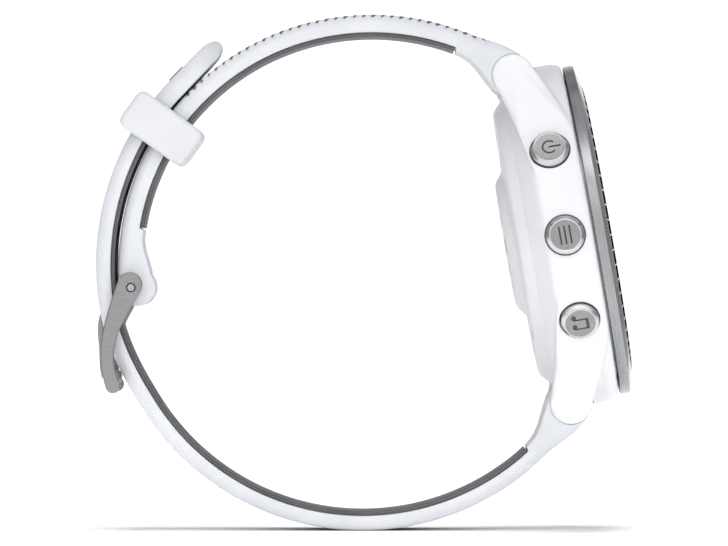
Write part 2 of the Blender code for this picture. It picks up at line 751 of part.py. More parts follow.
def make_lower_strap(frame, white, grey, metal):
    points = lower_path()
    travels = distances(points)
    liner = (LINER_START, travels[-1] - LOWER_LINER_END)
    pivot = (LOWER_PIN[0], 0.0, LOWER_PIN[1])
    body = strap_body(points, 1, LOWER_T, LOWER_AT_PIN, liner, True)
    strap = make_object("lower_strap", body, white, frame, origin=pivot)
    finish_lug_end(strap, LOWER_PIN, frame)
    inward = inward_direction(points, 1)
    lever_slot(strap, LOWER_PIN, inward, frame)
    make_lever("quick_release_lower", LOWER_PIN, inward, metal, frame)
    apply_boolean(strap, "holes", hole_cutter(points, 1), "DIFFERENCE", frame)
    inner = make_object(
        "lower_liner", liner_body(points, 1, LOWER_T, liner, True), grey, frame, origin=pivot
    )
    apply_boolean(inner, "holes", hole_cutter(points, 1), "DIFFERENCE", frame)


# ---------------------------------------------------------------- keeper and buckle


def make_keeper(frame, white):
    """A loop round both straps. Its origin is on the axis of the short strap's curve."""
    outward = (math.cos(KEEPER_ANGLE), math.sin(KEEPER_ANGLE))
    along = (-outward[1], outward[0])
    centre = (UPPER_MID[0] + outward[0] * KEEPER_R, UPPER_MID[1] + outward[1] * KEEPER_R)
    half_u, half_v = KEEPER_RADIAL / 2 - KEEPER_CORNER, KEEPER_LENGTH / 2 - KEEPER_CORNER
    rounded = []
    for su, sv, start in ((1, 1, 0), (-1, 1, 90), (-1, -1, 180), (1, -1, 270)):
        rounded += arc((su * half_u, sv * half_v), KEEPER_CORNER, start, start + 90, 4)

    def placed(u, v):
        return (centre[0] + outward[0] * u + along[0] * v, centre[1] + outward[1] * u + along[1] * v)

    shell = side_prism([placed(u, v) for u, v in rounded], -KEEPER_HALF, KEEPER_HALF)
    rims = [e for e in shell.edges if abs(e.verts[0].co.y - e.verts[1].co.y) < TINY]
    bmesh.ops.bevel(shell, geom=rims, offset=KEEPER_RIM, segments=2, affect="EDGES", profile=0.5)
    keeper = make_object("keeper", shell, white, frame, origin=(UPPER_MID[0], 0.0, UPPER_MID[1]))
    near, far = KEEPER_WINDOW
    window = [placed(u, v) for u, v in ((near, -4), (far, -4), (far, 4), (near, 4))]
    half_room = STRAP_HALF + KEEPER_SIDE_ROOM
    opening = side_prism(window, -half_room, half_room)
    apply_boolean(keeper, "opening", opening, "DIFFERENCE", frame)


def arm_outline():
    """Side outline of a buckle arm: broad at the eye, slim along its bend, fuller again at the foot."""
    steps = 12
    points = [bezier(ARM_ROUTE, i / steps) for i in range(steps + 1)]
    halves = [0.62 + 1.15 * (1 - i / steps) ** 1.6 + 0.25 * (i / steps) ** 4 for i in range(steps + 1)]
    return offset_outline(points, halves)


def cross_bar_outline():
    """The leaning oval section of the bar that joins the two feet."""
    cos, sin = math.cos(CROSS_BAR_LEAN), math.sin(CROSS_BAR_LEAN)
    short, long = CROSS_BAR_HALF
    return [
        (CROSS_BAR[0] + short * u * cos + long * v * sin, CROSS_BAR[1] - short * u * sin + long * v)
        for u, v in arc((0, 0), 1.0, 0, 345, 15)
    ]


def tongue_outline():
    """Side outline of the tongue, from its eye to the tip that rests on the cross bar."""
    steps = 10
    points = [bezier(TONGUE_ROUTE, i / steps) for i in range(1, steps + 1)] + TONGUE_TIP
    halves = [TONGUE_THICK] * (len(points) - 1) + [0.3]
    return offset_outline(points, halves)


def make_buckle(frame, metal):
    """The stirrup, its pin through the strap end, and the tongue that turns on the same pin."""
    pivot = (BUCKLE_PIN[0], 0.0, BUCKLE_PIN[1])
    left_arm = side_prism(arm_outline(), -ARM_OUT, -ARM_IN)
    stirrup = make_object("buckle_frame", left_arm, metal, frame, origin=pivot)
    left_eye = plane_drum(BUCKLE_PIN, EYE_R, -ARM_OUT, -ARM_IN, 20)
    apply_boolean(stirrup, "left_eye", left_eye, "UNION", frame)
    cross_bar = side_prism(cross_bar_outline(), -ARM_OUT + 0.1, ARM_OUT - 0.1)
    apply_boolean(stirrup, "cross_bar", cross_bar, "UNION", frame)
    right_arm = side_prism(arm_outline(), ARM_IN, ARM_OUT)
    apply_boolean(stirrup, "right_arm", right_arm, "UNION", frame)
    right_eye = plane_drum(BUCKLE_PIN, EYE_R, ARM_IN, ARM_OUT, 20)
    apply_boolean(stirrup, "right_eye", right_eye, "UNION", frame)
    bore = plane_drum(BUCKLE_PIN, BUCKLE_BORE_R, -BUCKLE_BORE_END, BUCKLE_BORE_END, FINE_ROUND)
    apply_boolean(stirrup, "pin_bore", bore, "DIFFERENCE", frame)
    pin = plane_drum(BUCKLE_PIN, BUCKLE_PIN_R, -ARM_OUT, ARM_OUT, FINE_ROUND)
    make_object("buckle_pin", pin, metal, frame, origin=pivot)
    blade = side_prism(tongue_outline(), -TONGUE_HALF, TONGUE_HALF)
    tongue = make_object("buckle_tongue", blade, metal, frame, origin=pivot)
    eye = plane_drum(BUCKLE_PIN, TONGUE_EYE_R, -TONGUE_HALF, TONGUE_HALF, 20)
    apply_boolean(tongue, "eye", eye, "UNION", frame)
    tongue_bore = plane_drum(BUCKLE_PIN, BUCKLE_BORE_R, -2, 2, FINE_ROUND)
    apply_boolean(tongue, "pin_bore", tongue_bore, "DIFFERENCE", frame)


# ---------------------------------------------------------------- the whole watch


def main():
    for old in list(bpy.data.objects):
        bpy.data.objects.remove(old)
    white_case = make_material("white_polymer", (0.88, 0.89, 0.90), 0.42)
    white_strap = make_material("white_silicone", (0.80, 0.81, 0.84), 0.55)
    grey_liner = make_material("grey_silicone", (0.10, 0.10, 0.11), 0.6)
    steel = make_material("brushed_steel", (0.55, 0.56, 0.57), 0.3, 1.0)
    rubber = make_material("black_rubber", (0.03, 0.03, 0.03), 0.7)
    glass = make_material("dark_glass", (0.02, 0.02, 0.025), 0.06, 0.0)
    black = make_material("black_plastic", (0.02, 0.02, 0.02), 0.4)
    board = make_material("green_board", (0.03, 0.18, 0.08), 0.5)
    foil = make_material("battery_foil", (0.6, 0.6, 0.58), 0.35, 0.6)

    watch = make_empty("watch_frame", (ORIGIN_SHIFT_X, 0, 0), (0, 0, 0), None)
    head = make_empty("head_frame", (HEAD_X, 0, HEAD_Z), head_rotation(), watch)
    make_case(head, white_case)
    make_bezel(head, steel, rubber, glass, black)
    make_back(head, white_case, black, steel)
    make_electronics(head, board, black, steel, foil)
    make_buttons(head, steel, rubber, black)
    make_spring_bars(head, steel)
    make_upper_strap(watch, white_strap, grey_liner, steel)
    make_lower_strap(watch, white_strap, grey_liner, steel)
    make_keeper(watch, white_strap)
    make_buckle(watch, steel)


main()
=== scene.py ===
import math

import bmesh
import bpy
from mathutils import Matrix, Vector


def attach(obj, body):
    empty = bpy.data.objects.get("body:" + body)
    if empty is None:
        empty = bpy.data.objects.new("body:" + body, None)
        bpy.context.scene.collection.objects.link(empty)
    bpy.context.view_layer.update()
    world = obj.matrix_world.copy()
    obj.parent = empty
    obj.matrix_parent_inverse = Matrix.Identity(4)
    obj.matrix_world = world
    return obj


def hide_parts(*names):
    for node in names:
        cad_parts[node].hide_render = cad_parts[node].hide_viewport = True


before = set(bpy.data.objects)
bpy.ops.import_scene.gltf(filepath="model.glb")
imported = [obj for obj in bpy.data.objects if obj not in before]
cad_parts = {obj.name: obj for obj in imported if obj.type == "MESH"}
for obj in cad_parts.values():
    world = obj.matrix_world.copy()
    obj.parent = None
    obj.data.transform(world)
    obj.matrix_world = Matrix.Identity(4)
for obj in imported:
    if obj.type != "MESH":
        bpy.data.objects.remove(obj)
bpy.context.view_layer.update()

# Lengths are millimetres, as in the CAD. World X runs from the buckle to the face, Y from 9 to 3 o'clock
# and Z up. The watch head has its own frame: x to 3 o'clock, y to 12 o'clock and z out of the face.
MM = 0.001
TINY = 0.0004
GAP = 0.3
SHIFT_X = -0.47

# Watch head
HEAD_X = 32.38
HEAD_Z = 42.28
HEAD_TILT = math.radians(10)
CASE_R = 24.2
CASE_TOP = -0.3
CASE_BOTTOM = -9.2
CAVITY_R = 19.2
SEAT_R = 21.1
SEAT_Z = -1.9
BLEND_VOXEL = 0.24
BLEND_PASSES = 9
BEZEL_R = 23.5
BEZEL_WALL = 1.4
BEZEL_LIP_R = 21.75
BEZEL_TOP = 2.0
TICK_PITCH_DEG = 1.25
TICK_HALF_WIDE = 0.07
TICK_HEIGHT = 0.04
GLASS_R = 21.0
GLASS_FLAT_R = 19.8
GLASS_TOP = 2.35
GLASS_BOTTOM = 1.1
GLASS_RIM_R = 19.25
DISPLAY_R = 18.8
DISPLAY_TOP = 0.75
DISPLAY_BOTTOM = -0.7
DIAL_R = 16.9
BACK_Z = -10.9
BUMP_R = 10.6
BUMP_TOP_R = 8.8
BUMP_Z = -12.35
WINDOW_R = 6.3
SCREW_CIRCLE = 17.0
CONTACT_Y = -14.2
CONTACT_PITCH = 2.0

# Lugs, spring bars and buttons
PIN_A = -7.3
PIN_B = 23.4
LUG_TIP_R = 2.98
LUG_IN = 10.9
HUB_R = 3.0
RECESS_R = 3.4
BAR_BORE_END = 12.7
BUTTON_Z = -4.2
BUTTON_R = 2.7
BUTTON_FACE_R = 2.1
BUTTON_TOP = 25.1
BUTTON_ANGLES = {"light": 150, "menu": 180, "music": 210, "start": 30, "back": -30}

# Straps
STRAP_HALF = 10.0
SHOULDER_HALF = 14.0
SWELL_LENGTH = 8.5
SHOULDER_LENGTH = 11.0
UPPER_MID = (0.0, 36.26)
UPPER_T = 3.15
UPPER_R = 35.35
UPPER_R_DEG = 66
UPPER_SHRINK = 0.0231
UPPER_JOIN_DEG = 68.0
UPPER_LAST_DEG = 181.0
UPPER_STEP_DEG = 0.25
UPPER_AT_PIN = (2.85, 3.2)
LOWER_MID = (0.0, 36.6)
LOWER_R = 35.25
LOWER_T = 2.7
LOWER_JOIN_TURN = 52.0
LOWER_LAST_TURN = 217.5
LOWER_STEP_DEG = 0.6
LOWER_AT_PIN = (3.0, 3.1)
RISE = 0.8
RISE_TURN = 148.0
RISE_SPAN = 24.0
SPREAD = 0.0144
SPREAD_TURN = 170.0
TAIL_LENGTH = 13.3
TAIL_STEPS = 36
TAIL_HEADING = math.radians(46.5)
TAIL_PAD_AT = (-25.2, 63.6)
FAIR_SLOPE = 0.105
FAIR_LENGTH = 4.0
NOSE_LENGTH = 2.4
NOSE_SHARE = 0.94
TAPER_LENGTH = 9.0
TAPER_SHARE = 0.9
LINER_T = 0.5
LINER_SINK = 0.08
LINER_START = 9.0
UPPER_LINER_END = 7.0
LOWER_LINER_END = 12.5
DASH_PITCH = 1.27
DASH_SLANT = 0.35
DASH_SPAN = (5.0, 50.0)
HOLE_PITCH = 6.8
HOLE_LONG = 5.2
HOLE_WIDE = 2.9
HOLE_CUT = 4.0
HOLES_BELOW = 3
HOLES_ABOVE = 4
TONGUE_HOLE_DEG = 188.2
BULB_CENTRE = (-31.8, 34.2)
BULB_R = 2.6
BULB_NECK = 6.0
BULB_OUT = 1.75
BULB_IN = 2.85
LEVER_SLOT_Y = (4.6, 8.4)
LEVER_SLOT_DEPTH = (0.2, 4.5)
LEVER_SLOT_HALF = 0.8

# Buckle and keeper
BUCKLE_PIN = (-32.56, 34.21)
BUCKLE_PIN_R = 0.5
BUCKLE_EYE_BORE_R = 0.6
BUCKLE_BORE_END = 13.0
ARM_IN = 10.6
ARM_OUT = 12.2
ARM_ROUTE = ((-32.75, 34.6), (-35.0, 29.6), (-37.1, 25.6), (-35.1, 20.4))
ARM_STEPS = 40
CROSS_BAR = (-35.2, 21.2)
CROSS_BAR_HALF = (0.9, 1.3)
CROSS_BAR_LEAN = 0.3
TONGUE_HALF = 1.05
TONGUE_ROUTE = (BUCKLE_PIN, (-36.0, 33.0), (-37.6, 30.6), (-36.85, 26.0))
TONGUE_TIP = [(-36.75, 23.0), (-36.6, 21.4)]
TONGUE_ROOM_R = 3.6
KEEPER_ANGLE = math.radians(144.3)
KEEPER_R = 34.87
KEEPER_RADIAL = 11.1
KEEPER_LENGTH = 5.9
KEEPER_HALF = 12.6
KEEPER_RIM = 0.75
KEEPER_WINDOW = (-3.25, 3.4)
KEEPER_SIDE_ROOM = 0.45

COS, SIN = math.cos(HEAD_TILT), math.sin(HEAD_TILT)
WATCH = Matrix.Translation((SHIFT_X, 0, 0))
HEAD_TURN = Matrix(((0, -SIN, COS), (1, 0, 0), (0, COS, SIN))).to_4x4()
HEAD = WATCH @ Matrix.Translation((HEAD_X, 0, HEAD_Z)) @ HEAD_TURN


# ---------------------------------------------------------------- shapes


def soften(points, reach, steps=4, closed=True):
    """Rounds the corners of an outline. reach is one length, or one for each corner."""
    made = []
    count = len(points)
    for i, point in enumerate(points):
        length = reach[i] if isinstance(reach, (list, tuple)) else reach
        if length <= 0 or (not closed and i in (0, count - 1)):
            made.append(tuple(point))
            continue
        before, after = points[i - 1], points[(i + 1) % count]
        to_before, to_after = math.dist(point, before), math.dist(point, after)
        back, on = min(length, 0.47 * to_before), min(length, 0.47 * to_after)
        first = [p + (q - p) * back / to_before for p, q in zip(point, before)]
        last = [p + (q - p) * on / to_after for p, q in zip(point, after)]
        for k in range(steps + 1):
            t = k / steps
            made.append(tuple(
                (1 - t) ** 2 * a + 2 * t * (1 - t) * b + t * t * c for a, b, c in zip(first, point, last)
            ))
    return made


def arc(centre, radius, start, end, steps):
    return [polar(centre, radius, start + (end - start) * i / steps) for i in range(steps + 1)]


def polar(centre, radius, degrees):
    angle = math.radians(degrees)
    return (centre[0] + radius * math.cos(angle), centre[1] + radius * math.sin(angle))


def polar_of(centre, point):
    dx, dz = point[0] - centre[0], point[1] - centre[1]
    return math.hypot(dx, dz), math.degrees(math.atan2(dz, dx))


def spline(points, steps=6):
    """A smooth line through all the points."""
    made = []
    for i in range(len(points) - 1):
        p0, p1 = points[max(i - 1, 0)], points[i]
        p2, p3 = points[i + 1], points[min(i + 2, len(points) - 1)]
        for k in range(steps):
            t = k / steps
            made.append(tuple(
                0.5 * (2 * b + (c - a) * t + (2 * a - 5 * b + 4 * c - d) * t * t + (3 * b - a - 3 * c + d) * t**3)
                for a, b, c, d in zip(p0, p1, p2, p3)
            ))
    made.append(tuple(points[-1]))
    return made


def smoothstep(value):
    value = min(max(value, 0.0), 1.0)
    return value * value * (3 - 2 * value)


def bezier(ends, t):
    weights = ((1 - t) ** 3, 3 * t * (1 - t) ** 2, 3 * t * t * (1 - t), t**3)
    return tuple(sum(w * p[k] for w, p in zip(weights, ends)) for k in range(2))


def headings(points):
    found = []
    for i in range(len(points)):
        before, after = points[max(i - 1, 0)], points[min(i + 1, len(points) - 1)]
        dx, dz = after[0] - before[0], after[1] - before[1]
        length = math.hypot(dx, dz)
        found.append((dx / length, dz / length))
    return found


def distances(points):
    total = [0.0]
    for before, after in zip(points, points[1:]):
        total.append(total[-1] + math.dist(before, after))
    return total


def rings_mesh(rings, closed_ring=True, closed_path=False, caps=True, uv=None):
    """A skin through rings. uv(i, j) gives each point's place on the surface, in millimetres."""
    bm = bmesh.new()
    layer = bm.loops.layers.uv.new("UVMap")
    rows = [[bm.verts.new(point) for point in ring] for ring in rings]
    count = len(rows[0])
    length = len(rows)
    for i in range(length if closed_path else length - 1):
        for j in range(count if closed_ring else count - 1):
            corners = ((i, j), (i, j + 1), (i + 1, j + 1), (i + 1, j))
            face = bm.faces.new([rows[a % length][b % count] for a, b in corners])
            if uv:
                for loop, (a, b) in zip(face.loops, corners):
                    loop[layer].uv = uv(a, b)
    if caps and closed_ring and not closed_path:
        bm.faces.new(rows[0][::-1])
        bm.faces.new(rows[-1])
    return bm


def turned(profile, segments):
    """A profile of (radius, height) spun about z."""
    closed = profile[0][0] > 1e-6
    travel = distances(profile + [profile[0]]) if closed else distances(profile)
    rings = []
    for i in range(segments):
        angle = 2 * math.pi * i / segments
        rings.append([(r * math.cos(angle), r * math.sin(angle), h) for r, h in profile])
    bm = rings_mesh(
        rings, closed_ring=closed, closed_path=True, caps=False,
        uv=lambda i, j: (200.0 * i / segments, travel[j]),
    )
    bmesh.ops.remove_doubles(bm, verts=bm.verts, dist=TINY)
    bmesh.ops.dissolve_degenerate(bm, dist=TINY, edges=bm.edges)
    return bm


def prism(outline, low, high, axis="Y"):
    """A flat outline pushed along Y (outline in X and Z) or along Z (outline in X and Y)."""
    bm = bmesh.new()
    if axis == "Y":
        corners, push = [(x, low, z) for x, z in outline], (0, high - low, 0)
    else:
        corners, push = [(x, y, low) for x, y in outline], (0, 0, high - low)
    face = bm.faces.new([bm.verts.new(c) for c in corners])
    extruded(bm, face, push)
    bmesh.ops.recalc_face_normals(bm, faces=bm.faces)
    return bm


def extruded(bm, face, push):
    made = bmesh.ops.extrude_face_region(bm, geom=[face])
    moved = [item for item in made["geom"] if isinstance(item, bmesh.types.BMVert)]
    bmesh.ops.translate(bm, verts=moved, vec=push)


def drum(radius, low, high, segments):
    return turned([(0, low), (radius, low), (radius, high), (0, high)], segments)


def plane_drum(centre, radius, low, high, segments):
    return prism(arc(centre, radius, 0, 360 - 360 / segments, segments - 1), low, high)


def cubes(placings):
    bm = bmesh.new()
    for placing in placings:
        piece = bmesh.ops.create_cube(bm, size=1)["verts"]
        bmesh.ops.transform(bm, matrix=placing, verts=piece)
    return bm


def dial_turn(degrees, radius, height):
    turn = Matrix.Rotation(math.radians(degrees), 4, "Z")
    return turn @ Matrix.Translation((radius, 0, height))


def offset_outline(points, halves):
    left, right = [], []
    for (x, z), (dx, dz), half in zip(points, headings(points), halves):
        left.append((x - dz * half, z + dx * half))
        right.append((x + dz * half, z - dx * half))
    return left + right[::-1]


# ---------------------------------------------------------------- objects


def new_object(name, bm, placing):
    bmesh.ops.recalc_face_normals(bm, faces=bm.faces)
    bm.transform(Matrix.Scale(MM, 4) @ placing)
    mesh = bpy.data.meshes.new(name)
    bm.to_mesh(mesh)
    bm.free()
    made = bpy.data.objects.new(name, mesh)
    bpy.context.scene.collection.objects.link(made)
    return made


def baked(obj):
    """Turns the modifiers of an object into its mesh."""
    graph = bpy.context.evaluated_depsgraph_get()
    graph.update()
    mesh = bpy.data.meshes.new_from_object(obj.evaluated_get(graph))
    old = obj.data
    obj.modifiers.clear()
    obj.data = mesh
    bpy.data.meshes.remove(old)
    return obj


def combine(obj, pieces, operation, placing):
    placings = placing if isinstance(placing, list) else [placing] * len(pieces)
    helpers = []
    for i, (bm, place) in enumerate(zip(pieces, placings)):
        helper = new_object(f"helper_{i}", bm, place)
        helper.hide_render = True
        boolean = obj.modifiers.new(f"step_{i}", "BOOLEAN")
        boolean.operation = operation
        boolean.solver = "EXACT"
        boolean.object = helper
        helpers.append(helper)
    bpy.context.view_layer.update()
    baked(obj)
    for helper in helpers:
        mesh = helper.data
        bpy.data.objects.remove(helper)
        bpy.data.meshes.remove(mesh)
    return obj


def dress(obj, materials, body, nodes=(), sharp=35):
    """Gives an object its materials and shading, and ties it to the CAD."""
    obj.data.materials.clear()
    for material in materials if isinstance(materials, (list, tuple)) else [materials]:
        obj.data.materials.append(material)
    obj.data.shade_smooth()
    obj.data.set_sharp_from_angle(angle=math.radians(sharp))
    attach(obj, body)
    if nodes:
        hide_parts(*nodes)
    return obj


def dress_keep(obj, materials, body, nodes=(), sharp=35):
    """As dress, keeping the faces' material numbers."""
    indices = [f.material_index for f in obj.data.polygons]
    dress(obj, materials, body, nodes, sharp)
    for face, index in zip(obj.data.polygons, indices):
        face.material_index = index
    return obj


def bevelled(obj, width, segments=3, angle=30, material=-1):
    bevel = obj.modifiers.new("edge", "BEVEL")
    bevel.width = width * MM
    bevel.segments = segments
    bevel.use_clamp_overlap = False
    bevel.limit_method = "ANGLE"
    bevel.angle_limit = math.radians(angle)
    bevel.material = material
    return baked(obj)


# ---------------------------------------------------------------- materials


def material_base(name, colour, roughness, metallic=0.0):
    material = bpy.data.materials.new(name)
    material.use_nodes = True
    shader = material.node_tree.nodes["Principled BSDF"]
    shader.inputs["Base Color"].default_value = (*colour, 1)
    shader.inputs["Roughness"].default_value = roughness
    shader.inputs["Metallic"].default_value = metallic
    return material, material.node_tree, shader


def mapped_noise(tree, coordinate, scale, detail=3.0, roughness=0.55):
    """Noise over a coordinate stretched by three factors."""
    source = tree.nodes.new("ShaderNodeTexCoord")
    mapping = tree.nodes.new("ShaderNodeMapping")
    noise = tree.nodes.new("ShaderNodeTexNoise")
    mapping.inputs["Scale"].default_value = scale
    noise.inputs["Scale"].default_value = 1.0
    noise.inputs["Detail"].default_value = detail
    noise.inputs["Roughness"].default_value = roughness
    tree.links.new(source.outputs[coordinate], mapping.inputs["Vector"])
    tree.links.new(mapping.outputs["Vector"], noise.inputs["Vector"])
    return noise.outputs["Fac"]


def ranged(tree, value, low, high, from_low=0.3, from_high=0.7):
    node = tree.nodes.new("ShaderNodeMapRange")
    node.inputs["From Min"].default_value = from_low
    node.inputs["From Max"].default_value = from_high
    node.inputs["To Min"].default_value = low
    node.inputs["To Max"].default_value = high
    tree.links.new(value, node.inputs["Value"])
    return node.outputs["Result"]


def mixed(tree, factor, first, second):
    node = tree.nodes.new("ShaderNodeMix")
    node.data_type = "RGBA"
    node.inputs[6].default_value = (*first, 1)
    node.inputs[7].default_value = (*second, 1)
    tree.links.new(factor, node.inputs[0])
    return node.outputs[2]


def bump(tree, shader, height, strength, distance):
    node = tree.nodes.new("ShaderNodeBump")
    node.inputs["Strength"].default_value = strength
    node.inputs["Distance"].default_value = distance * MM
    tree.links.new(height, node.inputs["Height"])
    tree.links.new(node.outputs["Normal"], shader.inputs["Normal"])


def moulded(name, dark, light, roughness, grain, depth, specular=0.5, subsurface=0.0, sheen=0.0):
    """Moulded plastic or rubber: faint mottling, a fine grain, and a finish that varies a little."""
    material, tree, shader = material_base(name, light, roughness)
    cloudy = mapped_noise(tree, "Object", (90, 90, 90), 2.0)
    tint = mixed(tree, ranged(tree, cloudy, 0, 1), dark, light)
    tree.links.new(tint, shader.inputs["Base Color"])
    fine = mapped_noise(tree, "Object", (grain, grain, grain), 4.0)
    finish = mapped_noise(tree, "Object", (260, 260, 260), 3.0)
    tree.links.new(ranged(tree, finish, roughness - 0.05, roughness + 0.06), shader.inputs["Roughness"])
    bump(tree, shader, fine, 0.35, depth)
    shader.inputs["Specular IOR Level"].default_value = specular
    shader.inputs["Sheen Weight"].default_value = sheen
    shader.inputs["Subsurface Weight"].default_value = subsurface
    shader.inputs["Subsurface Radius"].default_value = (1.0, 0.9, 0.85)
    shader.inputs["Subsurface Scale"].default_value = 0.6 * MM
    return material


def brushed(name, dark, light, roughness, scale, depth=0.004, coordinate="UV"):
    """Metal with fine lines along one direction of the surface coordinates."""
    material, tree, shader = material_base(name, light, roughness, 1.0)
    lines = mapped_noise(tree, coordinate, scale, 5.0, 0.7)
    tree.links.new(mixed(tree, ranged(tree, lines, 0, 1), dark, light), shader.inputs["Base Color"])
    tree.links.new(ranged(tree, lines, roughness - 0.06, roughness + 0.1), shader.inputs["Roughness"])
    bump(tree, shader, lines, 0.3, depth)
    return material


def polished(name, colour, roughness):
    """Polished metal with faint handling marks."""
    material, tree, shader = material_base(name, colour, roughness, 1.0)
    marks = mapped_noise(tree, "Object", (700, 700, 700), 4.0)
    tree.links.new(ranged(tree, marks, roughness * 0.7, roughness * 1.5), shader.inputs["Roughness"])
    bump(tree, shader, marks, 0.12, 0.004)
    return material


case_white = moulded("case_white", (0.82, 0.83, 0.85), (0.865, 0.87, 0.885), 0.36, 5200, 0.006, 0.5, 0.1)
strap_white = moulded(
    "strap_white", (0.71, 0.725, 0.76), (0.78, 0.79, 0.82), 0.5, 6500, 0.012, 0.4, 0.12, 0.1
)
keeper_white = moulded(
    "keeper_white", (0.71, 0.72, 0.74), (0.76, 0.77, 0.79), 0.46, 6500, 0.012, 0.4, 0.12, 0.1
)
# The straps' grey inner layer, coloured near black: its own grey, darkened as painted shade for the band along the
# inside of the strap loop.
liner_grey = moulded("liner_grey", (0.075, 0.076, 0.08), (0.12, 0.12, 0.125), 0.55, 5200, 0.015, 0.4)
rubber_black = moulded("rubber_black", (0.012, 0.012, 0.013), (0.03, 0.03, 0.03), 0.6, 4000, 0.02, 0.4)
# Darker grey for the short strap's slanted grooves: painted shade in the grooves.
groove_painted_shade = moulded("groove_painted_shade", (0.10, 0.10, 0.11), (0.20, 0.20, 0.21), 0.6, 6500, 0.01, 0.3)
ink_black = moulded("ink_black", (0.05, 0.05, 0.052), (0.09, 0.09, 0.09), 0.5, 7000, 0.01, 0.4)
bezel_brushed = brushed("bezel_brushed", (0.26, 0.265, 0.27), (0.44, 0.445, 0.45), 0.26, (0.25, 14, 1))
bezel_polished = polished("bezel_polished", (0.55, 0.555, 0.56), 0.14)
cap_brushed = brushed("cap_brushed", (0.23, 0.23, 0.23), (0.40, 0.40, 0.40), 0.34, (14, 0.8, 1))
cap_polished = polished("cap_polished", (0.62, 0.62, 0.63), 0.16)
buckle_satin = brushed(
    "buckle_satin", (0.27, 0.27, 0.268), (0.33, 0.33, 0.328), 0.42, (420, 420, 2600), 0.003, "Object"
)
buckle_edge = polished("buckle_edge", (0.58, 0.58, 0.58), 0.2)
pin_steel = polished("pin_steel", (0.42, 0.42, 0.43), 0.25)
screw_steel = brushed("screw_steel", (0.45, 0.45, 0.46), (0.66, 0.66, 0.67), 0.3, (0.4, 12, 1))
contact_gold = polished("contact_gold", (0.83, 0.62, 0.30), 0.2)
board_green = moulded("board_green", (0.01, 0.10, 0.04), (0.02, 0.16, 0.07), 0.45, 3000, 0.02)
battery_foil = brushed(
    "battery_foil", (0.5, 0.5, 0.48), (0.72, 0.71, 0.68), 0.35, (900, 900, 300), 0.02, "Object"
)


def glass_material():
    material, tree, shader = material_base("cover_glass", (0.9, 0.91, 0.92), 0.04)
    smears = mapped_noise(tree, "Object", (120, 120, 120), 5.0)
    tree.links.new(ranged(tree, smears, 0.02, 0.07), shader.inputs["Roughness"])
    shader.inputs["Transmission Weight"].default_value = 1.0
    shader.inputs["IOR"].default_value = 1.5
    return material


def display_material():
    material, tree, shader = material_base("display_black", (0.004, 0.004, 0.005), 0.2)
    grid = mapped_noise(tree, "Object", (9000, 9000, 9000), 2.0)
    tint = mixed(tree, grid, (0.003, 0.003, 0.004), (0.010, 0.010, 0.012))
    tree.links.new(tint, shader.inputs["Base Color"])
    return material


def glow_material(name, colour, strength):
    material, tree, shader = material_base(name, colour, 0.4)
    grain = mapped_noise(tree, "Object", (5000, 5000, 5000), 2.0)
    tree.links.new(ranged(tree, grain, strength * 0.85, strength), shader.inputs["Emission Strength"])
    shader.inputs["Emission Color"].default_value = (*colour, 1)
    return material


cover_glass = glass_material()
display_black = display_material()
# Glow of the display's marks; the same glow on the cover glass's printed scale is painted light.
pale_glow = glow_material("pale_glow", (0.75, 0.80, 0.85), 0.35)
dial_blue = glow_material("dial_blue", (0.05, 0.45, 0.80), 0.5)
led_green = glow_material("led_green", (0.05, 0.5, 0.12), 0.15)
rim_black = moulded("rim_black", (0.005, 0.005, 0.006), (0.009, 0.009, 0.010), 0.25, 2500, 0.001, 0.0)
sensor_black = moulded("sensor_black", (0.008, 0.008, 0.009), (0.014, 0.014, 0.015), 0.1, 2500, 0.002)


# ---------------------------------------------------------------- watch head


def radial_placing(angle_deg):
    angle = math.radians(angle_deg)
    outward = Vector((math.cos(angle), math.sin(angle), 0))
    across = Vector((math.sin(angle), -math.cos(angle), 0))
    turn = Matrix((Vector((0, 0, 1)), across, outward)).transposed().to_4x4()
    return HEAD @ Matrix.Translation((0, 0, BUTTON_Z)) @ turn


def bar_placing(end):
    return HEAD @ Matrix.Translation((0, end * PIN_B, PIN_A)) @ Matrix.Rotation(math.pi / 2, 4, "Y")


def lug_half_width(y):
    """How far a lug's outer face stands from the middle of the watch."""
    line = spline([
        (9.0, 22.4), (12.0, 21.0), (14.0, 19.7), (16.5, 17.9), (19.0, 16.3), (21.5, 15.05), (24.0, 14.2), (27.0, 13.5),
    ])
    for (y0, x0), (y1, x1) in zip(line, line[1:]):
        if y0 <= y <= y1:
            return x0 + (x1 - x0) * (y - y0) / (y1 - y0)
    return line[-1][1]


def lug_solid(side, end):
    front = spline([
        (9.0, -0.55), (13.5, -0.55), (15.4, -0.75), (17.6, -1.45), (20.1, -2.5), (22.6, -3.65), (24.0, -4.38),
    ])
    tip = arc((PIN_B, PIN_A), LUG_TIP_R, 76, -121, 30)
    rear = spline([(21.85, -9.86), (18.9, -8.95), (15.9, -8.25), (13.0, -7.7), (9.0, -6.9)])
    outline = front + tip + rear
    bm = bmesh.new()
    inner = [bm.verts.new((side * LUG_IN, end * y, z)) for y, z in outline]
    outer = [bm.verts.new((side * lug_half_width(y), end * y, z)) for y, z in outline]
    count = len(outline)
    for i in range(count):
        j = (i + 1) % count
        bm.faces.new((inner[i], inner[j], outer[j], outer[i]))
    bm.faces.new(inner[::-1])
    bm.faces.new(outer)
    bmesh.ops.triangulate(bm, faces=[f for f in bm.faces if len(f.verts) > 4])
    return bm


